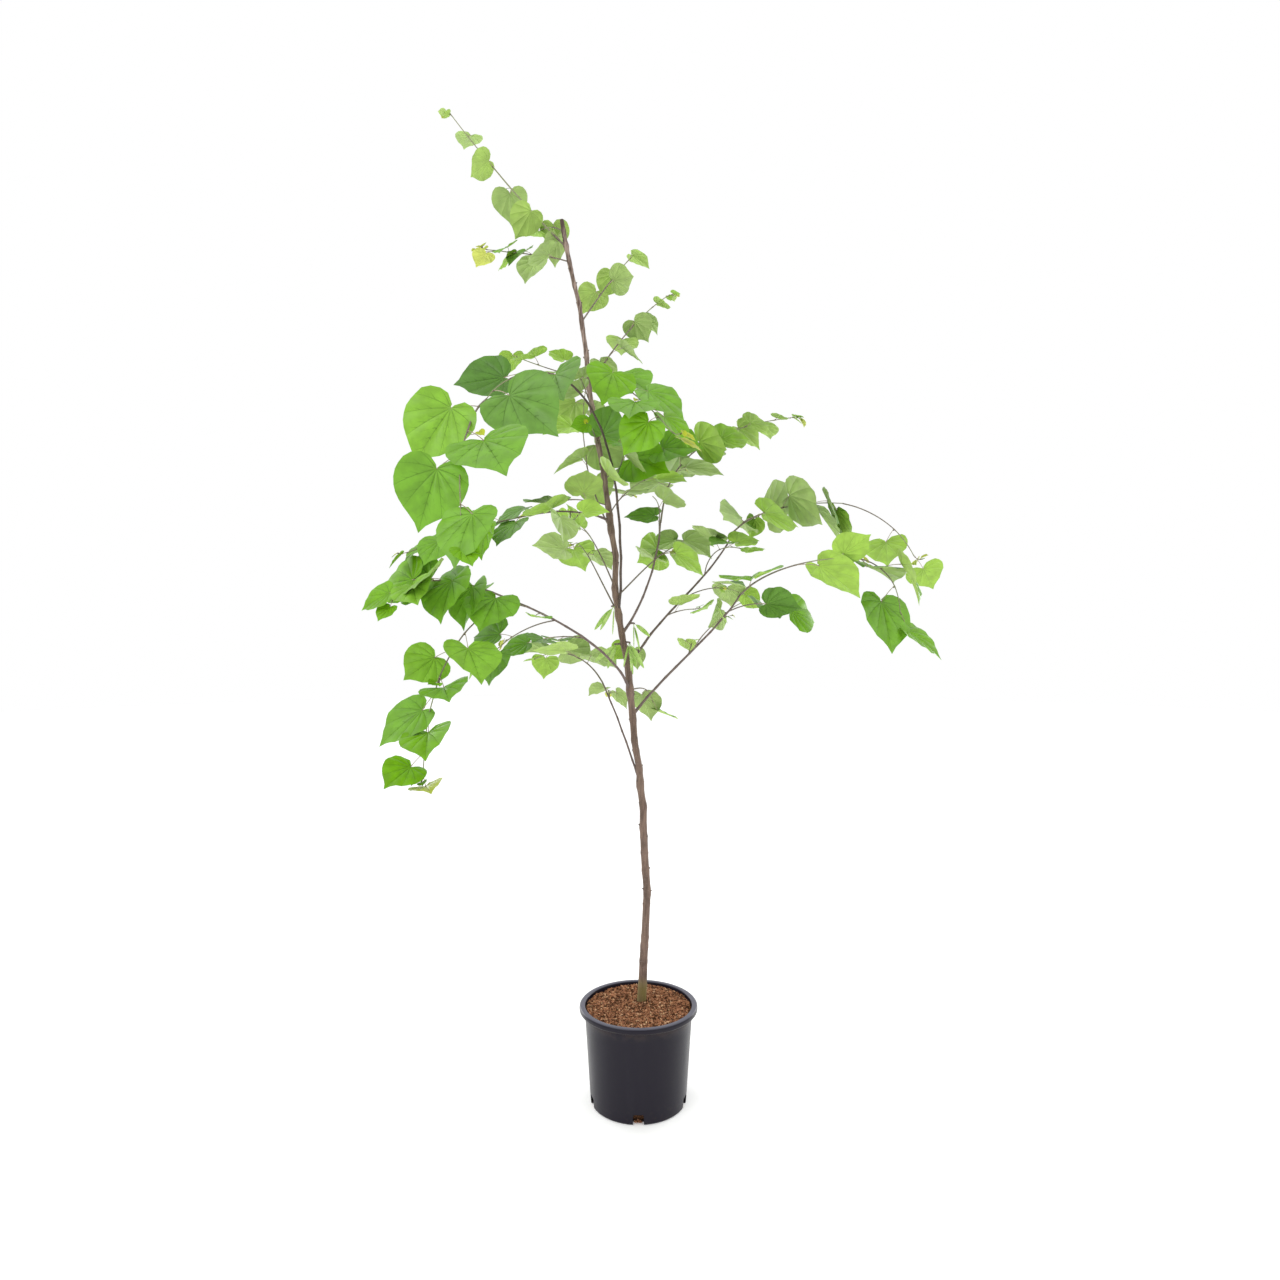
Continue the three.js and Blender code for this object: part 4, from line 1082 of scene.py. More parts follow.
def by_leaf(seed):
    """One draw for each leaf."""
    return swing(seed, np.arange(count))


fold, bend = FOLD - 0.02 + 0.10 * by_leaf(7), BEND + 0.09 * by_leaf(9)
wave, phase = 0.010 + 0.018 * np.abs(by_leaf(13)), np.pi * by_leaf(17)


def height_of(start, part, x, y):
    """The blade's height over the flat leaf, (leaves, places): fold |y| - bend x^2, an arch
    between each two main veins, and a wave that grows to the margin."""
    f, b, w, p = (a[:, None] for a in (fold, bend, wave, phase))
    gap = np.interp(np.abs(start), MAIN, np.arange(len(MAIN))) % 1
    arch = PUCKER * np.sin(np.pi * gap) * np.minimum(1, 2.2 * np.hypot(x, y))
    folded = f * (np.hypot(y, FLAT_MIDRIB) - FLAT_MIDRIB)
    rise = folded - b * x * x + arch * (1 - 0.4 * part**2)
    angle = np.radians(start)
    return rise + w * part**2 * (np.sin(4 * angle + p) + 0.5 * np.sin(9 * angle - 2 * p))


slim = np.clip(size / 80, 0.35, 1)[:, None]


def in_space(x, y, rise, lift=0.0):
    """Points (leaves, places, 3) of leaf places x, y that stand rise leaf lengths and lift
    millimetres above the flat leaf. The lift is slimmer on a small leaf."""
    high = size[:, None] * rise + slim * lift
    flat = x[:, None] * axis[:, None] + y[:, None] * across[:, None]
    return base[:, None] + size[:, None, None] * flat + high[..., None] * normal[:, None]


between = np.array([6.5, 16, 37, 47, 69, 81, 104, 116, 142, 156])
starts = np.sort(np.concatenate([between, MAIN[:5], -between, -MAIN[1:5]]))
PARTS = np.array([0.0, 0.13, 0.3, 0.48, 0.66, 0.84, 1.0])
grid_start, grid_part = np.meshgrid(starts, PARTS)
print(len(starts), "plain columns,", len(PARTS) - 1, "rings")

# %% Leaf mesh
HALF_THICK, VEIN_SUNK, VEIN_RAISED = 0.2, 0.3, 0.6
VEIN_WIDTH = 0.0095


def vein_width(part):
    """Half the width of a main vein, in leaf lengths: it narrows to the margin."""
    return VEIN_WIDTH * (1 - 0.85 * part)


# A main vein is three columns: an edge, its ridge and the other edge.
is_vein = np.isin(np.abs(starts), MAIN)
columns = np.repeat(starts, np.where(is_vein, 3, 1))
offset = np.concatenate([(-1, 0, 1) if vein else (0,) for vein in is_vein])
ridge = np.concatenate([(0, 1, 0) if vein else (0,) for vein in is_vein])
part = PARTS[1:, None]
x, y = fanned(columns[None], part)
angle = np.radians(columns * (1 - leaning(columns) * part))
x, y = x - offset * vein_width(part) * np.sin(angle), y + offset * vein_width(part) * np.cos(angle)
place_x, place_y = x.ravel(), y.ravel()
rise = height_of(np.tile(columns, len(part)), np.repeat(PARTS[1:], len(columns)), place_x, place_y)
vein_deep = (ridge * (1 - 0.8 * part)).ravel()
# The points of one leaf: its upper side, its underside, the rim they share and the stalk's end.
INSIDE = (len(part) - 1) * len(columns)
upper = in_space(place_x, place_y, rise, HALF_THICK - VEIN_SUNK * vein_deep)[:, :INSIDE]
lower = in_space(place_x, place_y, rise, -HALF_THICK - VEIN_RAISED * vein_deep)[:, :INSIDE]
rim = in_space(place_x, place_y, rise)[:, INSIDE:]
leaf_points = np.concatenate([upper, lower, rim, base[:, None]], axis=1)
each = leaf_points.shape[1]
POLE = each - 1

# Each side's grid of point numbers. The sides share the rim and the edges of the stalk's bay.
grid_up = np.vstack([
    np.arange(INSIDE).reshape(-1, len(columns)), 2 * INSIDE + np.arange(len(columns))
])
grid_low = grid_up.copy()
grid_low[:-1] += INSIDE
grid_low[:-1, [0, -1]] = grid_up[:-1, [0, -1]]
on_vein = (ridge[:-1] + ridge[1:]) > 0


def sheet(grid, down):
    """The quads of one side of the blade, the fan round its stalk, and which lie on a vein."""
    quads = np.stack([grid[:-1, :-1], grid[1:, :-1], grid[1:, 1:], grid[:-1, 1:]], axis=-1)
    fan = np.stack([np.full(len(columns) - 1, POLE), grid[0, :-1], grid[0, 1:]], axis=-1)
    quads = quads.reshape(-1, 4)
    if down:
        quads, fan = quads[:, [0, 3, 2, 1]], fan[:, ::-1]
    return (quads, np.tile(on_vein, len(PARTS) - 2)), (fan, on_vein)


print("faces a leaf:", 2 * (len(columns) - 1) * (len(PARTS) - 1))

# %% [markdown]
# ## Colours by leaf
#
# Leaves of one tree differ: old ones are deep green, those in the sun fresh green, the youngest
# at the tips yellowish, and a few turn yellow early. Each leaf gets one of a handful of plain
# greens, by its shoot, its age and a number of its own. Undersides are paler and duller, and
# their greens are also painted lighter, as painted light that shines through the leaf. The veins
# are painted a shade darker than the blade, as painted shade along them.

# %% Leaf finishes
def shaded(colour, factor):
    """A colour made lighter or darker, on a painter's scale."""
    return tone(*(min(255, channel * factor) for channel in colour))


def leaf_finish(name, colour, roughness, relief):
    """One plain green with soft mottling, and fine meshed veinlets in its bump and its gloss."""
    leaf = Finish(name, tone(*colour), roughness, Specular_IOR_Level=0.3)
    mottle = leaf.noise(42, 3).ramp(0.3, 0.7)
    cells = {"Vector": leaf.place(), "Scale": 380}
    mesh = leaf.add("ShaderNodeTexVoronoi", {"feature": "DISTANCE_TO_EDGE"}, cells).ramp(0.0, 0.25)
    return leaf.grained(
        mottle, shaded(colour, 0.94), shaded(colour, 1.05), roughness - 0.06, 0.12,
        0.0003, relief, mesh + mottle * 0.5,
    )


def vein_finish(name, colour):
    """A vein's plain colour, unevenly pale."""
    vein = Finish(name, tone(*colour), 0.5, Specular_IOR_Level=0.25)
    sides = shaded(colour, 0.96), shaded(colour, 1.05)
    return vein.grained(vein.noise(160, 2), *sides, 0.46, 0.1, 0.0002, 0.3)


# Each kind of green: the upper side, then the underside. The undersides are paler, and
# also painted lighter for the light that shines through a leaf.
GREENS = {
    "bright": [(126, 176, 50), (180, 204, 122)],
    "fresh": [(110, 162, 42), (159, 189, 94)],
    "vivid": [(110, 164, 16), (150, 188, 72)],
    "mid": [(100, 145, 54), (152, 178, 102)],
    "deep": [(80, 124, 40), (136, 164, 88)],
    "yellow": [(170, 182, 36), (198, 206, 98)],
}
# Each side: its name, roughness, bump, and how much darker its veins are painted, as painted shade.
SIDES = [("top", 0.38, 0.08, 0.84), ("under", 0.6, 0.1, 0.9)]
blade_finishes, vein_finishes = [], []
for i, (side, roughness, relief, vein_painted_shade) in enumerate(SIDES):
    for kind, colours in GREENS.items():
        blade_finishes.append(leaf_finish(f"leaf_{side}_{kind}", colours[i], roughness, relief))
        # The veins are painted darker than their blade: painted shade.
        darker = [channel * vein_painted_shade for channel in colours[i]]
        vein_finishes.append(vein_finish(f"vein_{side}_{kind}", darker))


def kind_of(leaf):
    """The leaf's green: its place along the shoot's greens, shifted by up to one by a draw."""
    greens = habits[leaf.shoot].greens or PLAIN_GREENS
    spot = leaf.order * (len(greens) - 1) + 0.8 * leaf.draws[4]
    green = greens[int(round(min(max(spot, 0), len(greens) - 1)))]
    return [kind[0] for kind in GREENS].index(green)


leaf_kind = np.array([kind_of(leaf) for leaf in leaves])
print({kind: int((leaf_kind == i).sum()) for i, kind in enumerate(GREENS)})

# %% Leaves
def leaf_piece(name, chosen):
    """The chosen leaves as one mesh object."""
    faces, face_kinds = [], []
    for down in (False, True):
        for shape, veined in sheet(grid_low if down else grid_up, down):
            faces.append(repeated(shape, len(chosen), each))
            kind = leaf_kind[chosen][:, None] + len(GREENS) * (down + 2 * veined[None])
            face_kinds.append(kind.ravel())
    points = leaf_points[chosen].reshape(-1, 3)
    finishes = blade_finishes + vein_finishes
    return piece(name, points, faces, finishes, kinds=np.concatenate(face_kinds), sharp=70)


low_half, high_half = np.array_split(np.argsort(base[:, 2]), 2)
leaf_pieces = leaf_piece("leaves_low", low_half), leaf_piece("leaves_high", high_half)

# %% [markdown]
# ## Side veins
#
# Side veins leave the midrib and the big veins at a slant. Each is a low roof laid on the blade's
# own mesh: its spots are found in the fan of columns and rings, and each one is a weighted mean of
# the three corners of its half quad. So it follows every pucker, and it never sinks in.

# %% Side vein paths
VEIN_SPOTS, SIDE_VEIN_WIDTH = 5, 0.0045
# The main vein that each leaves, at which part of its length, its slant and its length.
SIDE_VEINS = [
    (0, 0.2, 50, 0.2), (0, 0.36, 46, 0.24), (0, 0.52, 44, 0.22), (0, 0.68, 42, 0.14),
    (27, 0.35, 36, 0.16), (27, 0.55, 34, 0.15), (27, 0.74, 34, 0.1),
    (57, 0.4, 34, 0.14), (57, 0.65, 32, 0.1), (92, 0.45, 32, 0.12),
]


def side_vein(hand, start, part, slant, length):
    """A path in equal steps that leaves a main vein to the leaf's outer side and bends back to
    the tip, and half its width, which narrows."""
    x, y = fanned(np.array(hand * (start + 1e-6)), part)
    on = np.linspace(0, 1, VEIN_SPOTS)
    way = np.arctan2(y, x) + hand * np.radians(slant) * (1 - 0.35 * on)
    step = length / (VEIN_SPOTS - 1) * np.stack([np.cos(way), np.sin(way)], axis=-1)
    path = np.array([x, y]) + np.vstack([np.zeros(2), np.cumsum(step[1:], axis=0)])
    return path, SIDE_VEIN_WIDTH * (1 - 0.7 * on)


side_veins = [side_vein(hand, *row) for hand in (1, -1) for row in SIDE_VEINS]


def roof(path, width):
    """Leaf places of a vein's left edge, ridge and right edge, spot after spot."""
    way = unit(np.gradient(path, axis=0))
    out = np.stack([-way[:, 1], way[:, 0]], axis=-1) * width[:, None]
    return np.stack([path + out, path, path - out], axis=1).reshape(-1, 2)


vein_spots = np.vstack([roof(path, width) for path, width in side_veins])
print(len(side_veins), "side veins on each side of a leaf")

# %% Side vein mesh
ROUNDS, INNERMOST = 6, 0.985
ROOT_DEPTH, PEAK, PEAK_UNDER = 0.1, 0.2, 0.32  # mm, on a leaf of full size


def in_fan(x, y):
    """The start angle and part of leaf places, by a few rounds of correcting the angle."""
    angle = np.degrees(np.arctan2(y, x))
    start = angle
    for _ in range(ROUNDS):
        part = np.hypot(x, y) / margin(np.radians(start * (1 - leaning(start))))
        start = angle / (1 - leaning(start) * part)
    return start, np.minimum(part, INNERMOST)


# Each spot's ring i and column j, and how far it lies past them, s and t of a quad.
start, part = in_fan(*vein_spots.T)
i = np.clip(np.searchsorted(PARTS, part) - 1, 0, len(PARTS) - 2)
j = np.clip(np.searchsorted(starts, start) - 1, 0, len(starts) - 2)
s = (part - PARTS[i]) / (PARTS[i + 1] - PARTS[i])
t = (start - starts[j]) / (starts[j + 1] - starts[j])
# The half quad that holds it gives its place as a weighted mean of three corners.
x, y = fanned(grid_start.ravel(), grid_part.ravel())
mesh_points = in_space(x, y, height_of(grid_start.ravel(), grid_part.ravel(), x, y))
corners = [
    (i, j, 1 - np.maximum(s, t)), (i + 1, j, np.maximum(0, s - t)),
    (i, j + 1, np.maximum(0, t - s)), (i + 1, j + 1, np.minimum(s, t)),
]
on_blade = sum(mesh_points[:, a * len(starts) + b] * w[:, None] for a, b, w in corners)
# A roof on the upper side and one under the blade, each with two slopes from spot to spot.
ridged = np.tile([0, 1, 0], len(vein_spots) // 3)[:, None]
off_blade = slim[..., None] * normal[:, None]
top_points = on_blade + off_blade * (HALF_THICK - ROOT_DEPTH + PEAK * ridged)
low_points = on_blade - off_blade * (HALF_THICK - ROOT_DEPTH + PEAK_UNDER * ridged)
vein_points = np.concatenate([top_points, low_points], axis=1)
k = np.arange(VEIN_SPOTS - 1)[:, None] * 3 + np.arange(2)
slopes = np.stack([k + 1, k, k + 3, k + 4], axis=-1).reshape(-1, 4)
slopes = repeated(slopes, len(side_veins), 3 * VEIN_SPOTS)
slope_sets = slopes, slopes[:, ::-1] + len(vein_spots)
vein_kind = np.repeat(leaf_kind, len(slopes))
vein_mesh = piece(
    "leaf_veins", vein_points.reshape(-1, 3),
    [repeated(slopes, count, vein_points.shape[1]) for slopes in slope_sets],
    vein_finishes, kinds=np.concatenate([vein_kind, vein_kind + len(GREENS)]),
)
for thing in (*leaf_pieces, vein_mesh):
    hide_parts(*shoot_names)
    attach(thing, "root")

# %% [markdown]
# ## Seed pods
#
# After flowering, flat green pods hang in bunches straight from the old wood. A pod is a narrow
# lens with a keel along one edge and a low bump over each seed, on a thread of a stalk.

# %% Pods
def pod_finish():
    """Soft patches of two greens, and a fine grain."""
    pod = Finish("pod_skin", tone(170, 200, 112), 0.5)
    patches = pod.noise(90, 2).ramp(0.3, 0.7)
    green = tone(176, 204, 118), tone(146, 184, 84)
    return pod.grained(patches, *green, 0.45, 0.1, 0.0002, 0.5, pod.noise(600, 2))


POD_SIDES, POD_RINGS, POD_LENGTH, FAN = 12, 24, 62, 26
STUB_SIDES, STUB_LENGTH = 8, 24.0


def bunch(name, pods, seed, on, at, yaw, rise=10):
    """The stub of a bunch and its pods: each is a flat tube whose half width is a sine of its
    length, raised to a power that gives it pointed ends. Seeds are small waves in its thickness."""
    stub = Limb(name, on, at, STUB_LENGTH, 2.4, 2.0, yaw, rise, tip=-10)
    k = np.arange(pods)
    heading = stub.heading + FAN * (k - (pods - 1) / 2) + 8 * swing(seed, 3 * k)
    way = pointing(heading, -52 + 28 * swing(seed, 3 * k + 1))
    length = POD_LENGTH * (1 + 0.15 * swing(seed, 3 * k + 2))
    t = np.linspace(0, 1, POD_RINGS)
    hang = t[:, None] * way[:, None] - 0.1 * (t**2)[:, None] * UP
    middle = stub.point(0.8) + length[:, None, None] * hang
    past_stalk = np.minimum(1, np.maximum(0, (t - 0.14) / 0.1))
    width = 0.5 + 5.0 * past_stalk * np.sin(np.pi * np.clip((t - 0.12) / 0.88, 0, 1)) ** 0.6
    seeds = 1 + 0.35 * np.cos(16 * np.pi * t)
    thick = 0.45 + 0.8 * past_stalk * seeds * np.sin(np.pi * t) ** 0.5
    a = angles(POD_SIDES)
    flat = unit(np.cross(way, UP))
    edge = np.cross(flat, way)
    ring = (
        flat[:, None, None] * (thick[:, None] * np.cos(a))[None, ..., None]
        + edge[:, None, None] * (width[:, None] * np.sin(a))[None, ..., None]
    )
    return with_poles(middle, middle[:, :, None] + ring), stub


BUNCHES = {
    "pods_low": (5, 7, "trunk", 1064, -52),
    "pods_low_left": (3, 5, "trunk", 1060, -160),
    "pods_fork": (3, 9, "upper_right_bough", 0.1, -60, -50),
    "pods_high": (3, 12, "trunk", 1148, -130),
}
pod_sets = {name: bunch(name, *row) for name, row in BUNCHES.items()}
pod_points, stub_limbs = zip(*pod_sets.values())
pods = tube_piece("seed_pods", np.concatenate(pod_points), POD_RINGS, POD_SIDES, pod_finish())
stub_parts = [woody_tube(stub, STUB_SIDES, 8, 0.5, 0.3, 31) for stub in stub_limbs]
points, sides, caps = joined(stub_parts, STUB_SIDES)
stubs = piece("pod_stubs", points, [sides, caps], [bough_bark, bough_bark])
for thing in (pods, stubs):
    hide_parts(*pod_sets)
    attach(thing, "root")

# %% [markdown]
# ## The pot
#
# A blow-moulded nursery pot: a thin wall that widens upwards, a low collar, a fat rolled lip and
# a small round at the foot, with five drain notches cut out of its edge. The wall is one profile
# turned round the axis, because every edge of it is round. The notches are cut afterwards.

# %% Pot shape
HEIGHT, WALL, FLOOR = 223.0, 2.4, 3.0
FOOT_RADIUS, FOOT_ROUND = 107.5, 5
BODY_FOOT, BODY_TOP, LIP_FOOT = 111.5, 125.3, 210
NOTCHES, NOTCH_HALF, NOTCH_HEIGHT, NOTCH_CORNER = 5, 12, 24, 4


def wall_at(z):
    """The wall's outside radius, which widens evenly from the foot to the lip."""
    return BODY_FOOT + (BODY_TOP - BODY_FOOT) * (z - FOOT_ROUND) / (LIP_FOOT - FOOT_ROUND)


def arc(radius, height, across, up, start, end, steps):
    """Profile points on an ellipse about (radius, height), from angle start to end in degrees."""
    a = np.radians(np.linspace(start, end, steps))
    return np.stack([radius + across * np.cos(a), height + up * np.sin(a)], axis=-1)


profile = np.vstack([
    [(0, 0)],
    # The flat underside, and the round at the foot.
    np.linspace((30, 0), (105, 0), 3),
    arc(FOOT_RADIUS, FOOT_ROUND, wall_at(FOOT_ROUND) - FOOT_RADIUS, FOOT_ROUND, -85, 0, 6),
    # The wall, and the collar under the lip.
    np.linspace((wall_at(8), 8), (wall_at(194), 194), 12),
    np.linspace((wall_at(196) + 0.7, 197.5), (wall_at(208) + 1.2, 209), 4),
    # The rolled lip: its underside, its outside, its top and its inside.
    arc(133.5, 214, 4, 4, -95, 0, 7),
    arc(132.5, 218, 5, 5, 0, 80, 7),
    np.linspace((130, HEIGHT), (wall_at(HEIGHT) + 1.5, HEIGHT), 3),
    arc(wall_at(HEIGHT) + 1.2, HEIGHT - 3.5, 3.4, 3.5, 100, 180, 5),
    # Down the inside to the floor.
    np.linspace((wall_at(214) - WALL, 214), (wall_at(8) - WALL, 8), 10),
    arc(105, 6, wall_at(6) - WALL - 105, 3, 0, -85, 4),
    np.linspace((101, FLOOR), (30, FLOOR), 3),
    [(0, FLOOR)],
])
print("profile points:", len(profile))

# %% [markdown]
# Black pot plastic is never plain black: handling leaves it satin with faint scuffs, and
# splashed soil dries to a thin brown film on the collar under the lip. The top of the lip is
# painted light grey, a painted highlight of the light from above.

# %% Pot finish
FILM, LIP_HIGHLIGHT, SPLASH = (0.184, 0.203), (0.2205, 0.2229), (0.004, 0.05)  # heights in metres
plastic = Finish("pot_plastic", tone(22, 18, 30), 0.3, Specular_IOR_Level=0.22)
scuffs = plastic.noise(38, 5, (1, 1, 0.25)).ramp(0.45, 0.8)
grain = plastic.noise(1500, 2)
z_up = plastic.height()
film = z_up.ramp(*FILM) * (1 - z_up.ramp(0.211, SOIL_TOP * MM))
film = film * plastic.noise(55, 4).ramp(0.3, 0.62) * 0.16
splash = (1 - z_up.ramp(*SPLASH)) * plastic.noise(90, 4).ramp(0.5, 0.75) * 0.12
colour = plastic.mixed(scuffs * 0.3, tone(21, 17, 30), tone(36, 33, 43))
# The top of the lip is painted light grey: a painted highlight.
colour = plastic.mixed(z_up.ramp(*LIP_HIGHLIGHT) * 0.65, colour, tone(110, 109, 124))
colour = plastic.mixed(film + splash, colour, tone(92, 76, 64))
plastic.set("Base Color", colour)
plastic.set("Roughness", 0.29 + scuffs * 0.12 + film * 0.5)
plastic.bump(grain + scuffs * 0.5, 0.00015, 0.5)
print("pot finish:", plastic.material.name)

# %% Pot
AROUND = 144
rings = at_round(profile[1:-1, :1], angles(AROUND), profile[1:-1, 1:])
poles = at_round(0, 0, profile[[0, -1], 1])
pot_faces = [ring_faces(len(rings), AROUND), cap_faces(len(rings), AROUND)]
pot = piece(
    "nursery_pot", np.vstack([rings.reshape(-1, 3), poles]), pot_faces, [plastic, plastic]
)

corner_arc = arc(
    NOTCH_HALF - NOTCH_CORNER, NOTCH_HEIGHT - NOTCH_CORNER, NOTCH_CORNER, NOTCH_CORNER, 0, 90, 5
)
face = np.vstack([
    [(NOTCH_HALF, -20)], corner_arc, corner_arc[::-1] * (-1, 1), [(-NOTCH_HALF, -20)],
])
notch_turns = (2 * np.arange(NOTCHES) / NOTCHES - 0.5) * np.pi


def notch_block(turn, reach=(95.5, 119.5)):
    """A block with a round-cornered top, as long as the notch is deep, turned to its place."""
    out = np.array([np.cos(turn), np.sin(turn), 0])
    aside = np.cross(UP, out)
    middle = np.array(reach)[:, None] * out
    rings = middle[:, None] + face[:, :1] * aside + face[:, 1:] * UP
    return with_poles(middle[None], rings)[0]


blocks = np.stack([notch_block(turn) for turn in notch_turns])
cutter = tube_piece("notch_cutter", blocks, 2, len(face), plastic)
for thing in (pot, cutter):
    thing.data.validate()
cut = pot.modifiers.new("notches", "BOOLEAN")
cut.operation, cut.solver, cut.object = "DIFFERENCE", "EXACT", cutter
shaped = bpy.data.meshes.new_from_object(pot.evaluated_get(bpy.context.evaluated_depsgraph_get()))
pot.modifiers.clear()
pot.data = shaped
bpy.data.objects.remove(cutter)
shaped.set_sharp_from_angle(angle=math.radians(38))
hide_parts("pot")
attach(pot, "root")
print("pot faces after the cut:", len(shaped.polygons))

# %% [markdown]
# ## Potting mix
#
# The mix is composted bark and peat: a dark bed with crumbs and chips of bark lying on it. The
# bed is a plug whose top is uneven. The chips are worked out all at once, as small crooked
# blocks with sizes, turns and colours drawn from a seeded generator. Some lie in the drain notches.

# %% Mix finishes
def mix_finish(name, light, dark, scale):
    """Grains from dark to light, with a relief twice as fine."""
    mix = Finish(name, light, 0.95, Specular_IOR_Level=0.2)
    grain = mix.noise(scale, 3).ramp(0.35, 0.65)
    return mix.grained(grain, dark, light, 0.97, -0.1, 0.001, 1, mix.noise(scale * 2, 3))


bed_finish = mix_finish("peat_bed", tone(112, 76, 50), tone(40, 25, 15), 420)
chip_finishes = [
    mix_finish("chip_red", tone(192, 136, 100), tone(154, 104, 74), 500),
    mix_finish("chip_brown", tone(172, 120, 88), tone(132, 88, 62), 500),
    mix_finish("chip_dark", tone(106, 68, 42), tone(56, 34, 20), 500),
    mix_finish("chip_tan", tone(226, 186, 148), tone(196, 152, 116), 500),
]
DARK_CHIP = 2
print(len(chip_finishes), "finishes of bark crumbs")

# %% Bed
draw = np.random.default_rng(20)
foot_x, foot_y, _ = trunk_at(TRUNK_FOOT)
MOUND, MOUND_RADIUS, HOLLOW_DEPTH = 2, 30, 2.2


def waves(x, y, pitches):
    """The sum of one sine wave for each pitch, in radians a millimetre, each turned 2.4 radians
    on from the one before."""
    k = np.arange(len(pitches))
    along = x[..., None] * np.cos(2.4 * k) + y[..., None] * np.sin(2.4 * k)
    return np.sin(pitches * along + k).sum(axis=-1)


def hollow(x, y):
    """0 on the crumbly ground to 1 in its hollows, which are a thumb's width apart."""
    return np.clip(0.4 * waves(x, y, np.array([0.21, 0.27, 0.34, 0.41])) - 0.1, 0, 1)


def bed_height(x, y):
    """Height of the bed: five long waves, a low mound round the trunk, and the hollows."""
    mound = MOUND * np.exp(-((x - foot_x) ** 2 + (y - foot_y) ** 2) / MOUND_RADIUS**2)
    long_waves = 0.6 * waves(x, y, 0.045 + 0.035 * np.arange(5))
    return SOIL_TOP - 0.5 + long_waves + mound - HOLLOW_DEPTH * hollow(x, y)


INSET = WALL + 2 * SEAT
TOP_RINGS, BED_AROUND = 34, 120
mix_radius = wall_at(SOIL_TOP) - INSET

# Rings from the trunk out to the wall, and then down the wall to the pot's floor. Behind the
# drain notches the mix stands back from the wall.
a = angles(BED_AROUND)
top = at_round(np.linspace(4, mix_radius, TOP_RINGS)[:, None], a, 0)
x, y = top[..., 0], top[..., 1]
top[..., 2] = bed_height(x, y) + draw.uniform(-1.2, 1.2, x.shape)
depth = np.array([190.0, 120, 60, 30, 20, 8, FLOOR + SEAT])[:, None]
wall_radius = wall_at(depth) - INSET - np.where(depth < 8, 14, np.where(depth < 40, 10, 0))
wall_side = at_round(wall_radius + draw.uniform(-1.5, 0, (len(depth), BED_AROUND)), a, depth)
rings = np.concatenate([top, wall_side])
poles = at_round(0, 0, np.array([SOIL_TOP, FLOOR + SEAT]))
bed_faces = [f(len(rings), BED_AROUND)[:, ::-1] for f in (ring_faces, cap_faces)]
bed = piece(
    "peat_bed", np.vstack([rings.reshape(-1, 3), poles]), bed_faces, [bed_finish, bed_finish]
)

# %% Chips
CHIPS, SPILT = 10000, 80
corner = np.array([[i, j, k] for i in (-1, 1) for j in (-1, 1) for k in (-1, 1)], float)
box = np.array([[0, 1, 3, 2], [4, 6, 7, 5], [0, 4, 5, 1], [2, 3, 7, 6], [0, 2, 6, 4], [1, 5, 7, 3]])


def turns(angle, i, j):
    """Rotations by the angles in the plane of axes i and j."""
    m = np.tile(np.eye(3), (len(angle), 1, 1))
    m[:, i, i], m[:, j, j] = np.cos(angle), np.cos(angle)
    m[:, i, j], m[:, j, i] = -np.sin(angle), np.sin(angle)
    return m


def crumbs(centre, length):
    """Crooked blocks about the centres: half sides of length times (1, width, height), each
    corner drawn in or out a little, turned by a drawn heading, pitch and roll."""
    many = len(length)
    width, height = draw.uniform(0.45, 0.9, many), draw.uniform(0.25, 0.6, many)
    half_sides = length[:, None] * np.stack([np.ones(many), width, height], axis=-1)
    crooked = corner * draw.uniform(0.55, 1.15, (many, 8, 3)) * half_sides[:, None]
    heading = draw.uniform(0, 2 * np.pi, many)
    pitch, roll = draw.normal(0, 0.5, (2, many))
    spin = turns(heading, 0, 1) @ turns(pitch, 0, 2) @ turns(roll, 1, 2)
    return centre[:, None] + np.einsum("nij,nkj->nki", spin, crooked)


# Most chips are small, and they lie evenly over the bed, a few of them sunk in it.
length = 0.7 + 2.3 * draw.random(CHIPS) ** 2.6
radius = (mix_radius - 1.5 * length) * np.sqrt(draw.random(CHIPS))
centre = at_round(radius, draw.uniform(0, 2 * np.pi, CHIPS), 0)
x, y = centre[:, 0], centre[:, 1]
centre[:, 2] = bed_height(x, y) + draw.uniform(-0.3, 1.8, CHIPS)
off_trunk = np.hypot(x - foot_x, y - foot_y) > 12 + length
lying = crumbs(centre[off_trunk], length[off_trunk])

# A few crumbs have worked their way down into each drain notch: the least and the most of their
# length, and of their places outwards, aside and up.
way = np.repeat(notch_turns, SPILT)
least, most = np.array([[1, 97, -9, 2.5], [2, 105, 9, 6.5]])[..., None]
length, out, aside, z = draw.uniform(least, most, (4, len(way)))
x = out * np.cos(way) - aside * np.sin(way)
y = out * np.sin(way) + aside * np.cos(way)
spilt = crumbs(np.stack([x, y, z], axis=-1), length)

# About half of the crumbs in a hollow are dark: painted shade in the hollows.
chips = np.concatenate([lying, spilt])
colour_of = draw.choice(4, len(chips), p=[0.4, 0.33, 0.18, 0.09])
hollow_shade = 0.55 * hollow(chips[:, 0, 0], chips[:, 0, 1])
colour_of[draw.random(len(chips)) < hollow_shade] = DARK_CHIP
chip_piece = piece(
    "bark_chips", chips.reshape(-1, 3), [repeated(box, len(chips), 8)], chip_finishes,
    kinds=np.repeat(colour_of, 6), sharp=30,
)
for thing in (bed, chip_piece):
    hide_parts("potting_mix")
    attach(thing, "root")

# %% [markdown]
# ## Studio
#
# A plain pale floor and an even white surround, as in a light tent, with one large soft light
# from the upper left and a weaker one from the right. Most of the light comes from all round,
# so leaves keep their colour and shadows stay faint. A panel behind each side gives the black
# pot its soft bright edges.

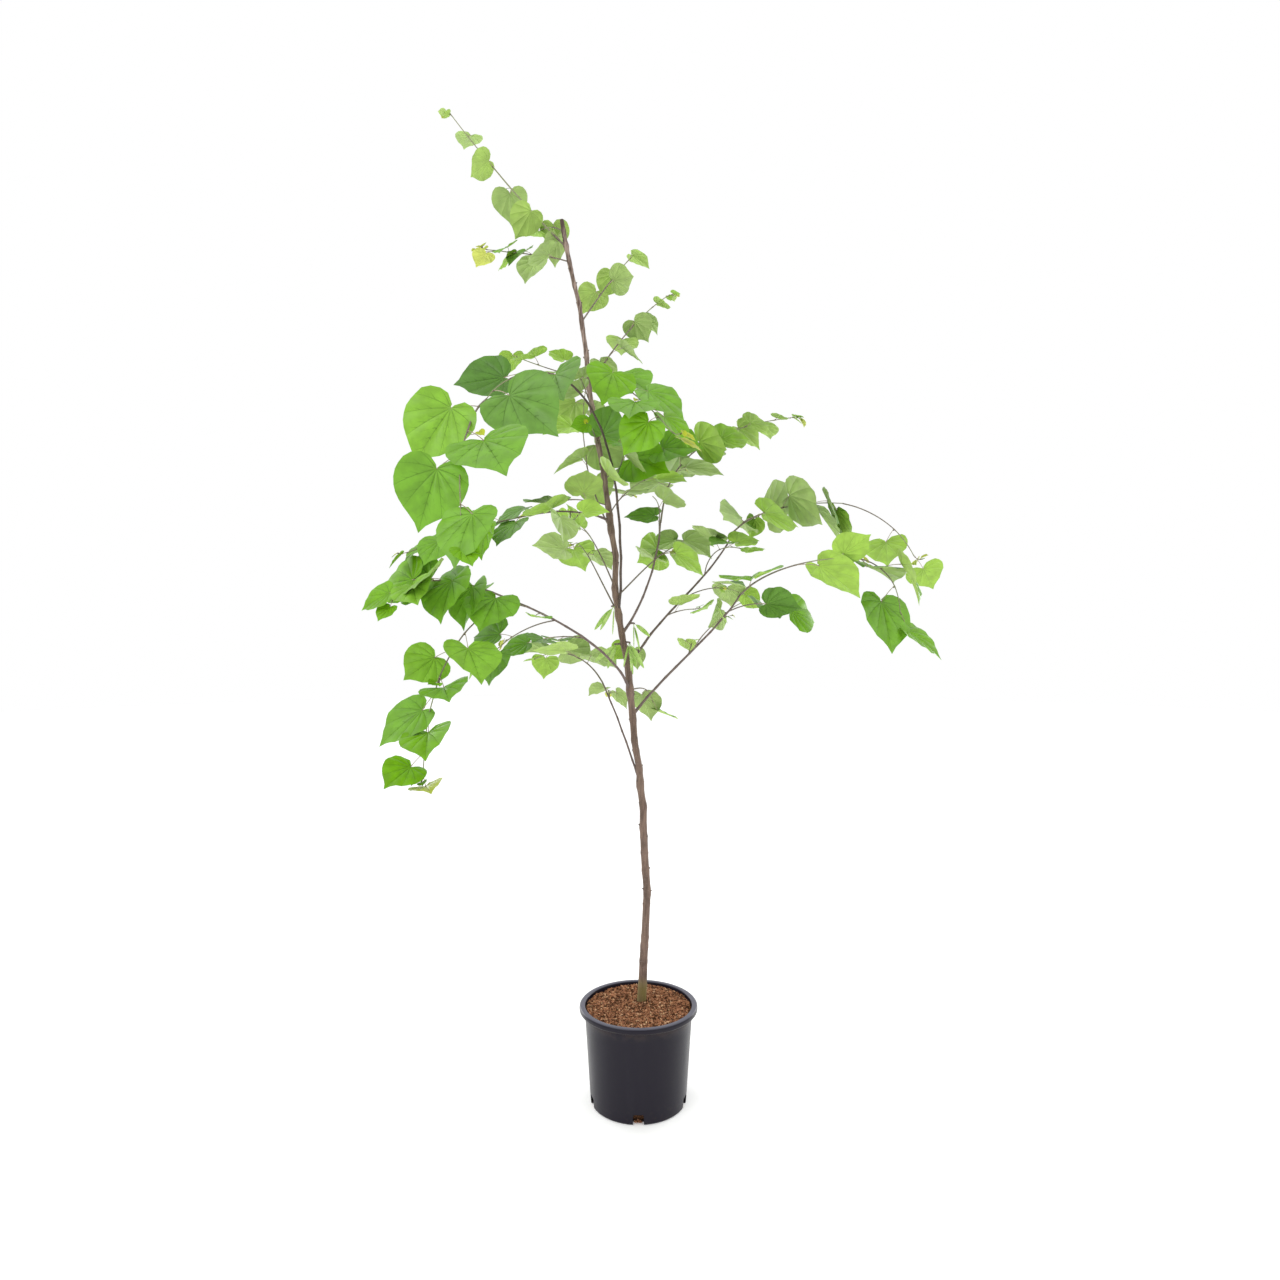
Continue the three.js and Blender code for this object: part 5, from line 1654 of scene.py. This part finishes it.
# %% Floor and light
FLOOR_RADIUS, FLOOR_SIDES, FLOOR_Z = 14000, 96, -0.5
paint = Finish(
    "floor_paint", tone(250, 250, 250), 0.8, Specular_IOR_Level=0.1,
    Emission_Color=tone(255, 255, 255), Emission_Strength=0.2,
)
rim = at_round(FLOOR_RADIUS, angles(FLOOR_SIDES), FLOOR_Z)
j = np.arange(FLOOR_SIDES)
spokes = np.stack([np.full(FLOOR_SIDES, FLOOR_SIDES), j, (j + 1) % FLOOR_SIDES], axis=-1)
floor = piece("floor", np.vstack([rim, [[0, 0, FLOOR_Z]]]), [spokes], [paint])

scene = bpy.context.scene
scene.view_settings.view_transform = "Standard"
world = bpy.data.worlds.new("light_tent")
world.use_nodes = True
world.node_tree.nodes["Background"].inputs["Color"].default_value = (1, 1, 1, 1)
world.node_tree.nodes["Background"].inputs["Strength"].default_value = 1.0
scene.world = world


def soft_light(name, place, power, size):
    """A square lamp that faces the middle of the plant."""
    lamp = bpy.data.lights.new(name, "AREA")
    lamp.energy, lamp.size = power, size
    obj = bpy.data.objects.new(name, lamp)
    obj.location = place
    aim = Vector((0, 0, 1.2)) - obj.location
    obj.rotation_euler = aim.to_track_quat("-Z", "Y").to_euler()
    scene.collection.objects.link(obj)


soft_light("key_light", (-2.2, -3.0, 3.6), 40, 2.2)
soft_light("fill_light", (2.8, -2.0, 2.4), 10, 2.2)
soft_light("left_panel", (-2.2, 1.9, 0.9), 36, 1.6)
soft_light("right_panel", (2.2, 1.9, 0.9), 32, 1.6)
print("lamps:", len(bpy.data.lights))

# %% [markdown]
# ## Camera
#
# A level wide-angle camera stands two metres away at the height of the pods. Close and wide, it
# sees the lower leaves' upper sides and the upper leaves' undersides.

# %% Camera
SENSOR, FOCAL_PIXELS, PICTURE_PIXELS = 36, 838, 1280
CAMERA_PLACE = (0.0035, -1.957, 1.070)  # metres
lens = bpy.data.cameras.new("camera")
lens.lens, lens.sensor_width = FOCAL_PIXELS / PICTURE_PIXELS * SENSOR, SENSOR
camera = bpy.data.objects.new("camera", lens)
camera.location = CAMERA_PLACE
camera.rotation_euler = (math.pi / 2, 0, 0)
scene.collection.objects.link(camera)
scene.camera = camera
print("lens:", round(lens.lens, 2))
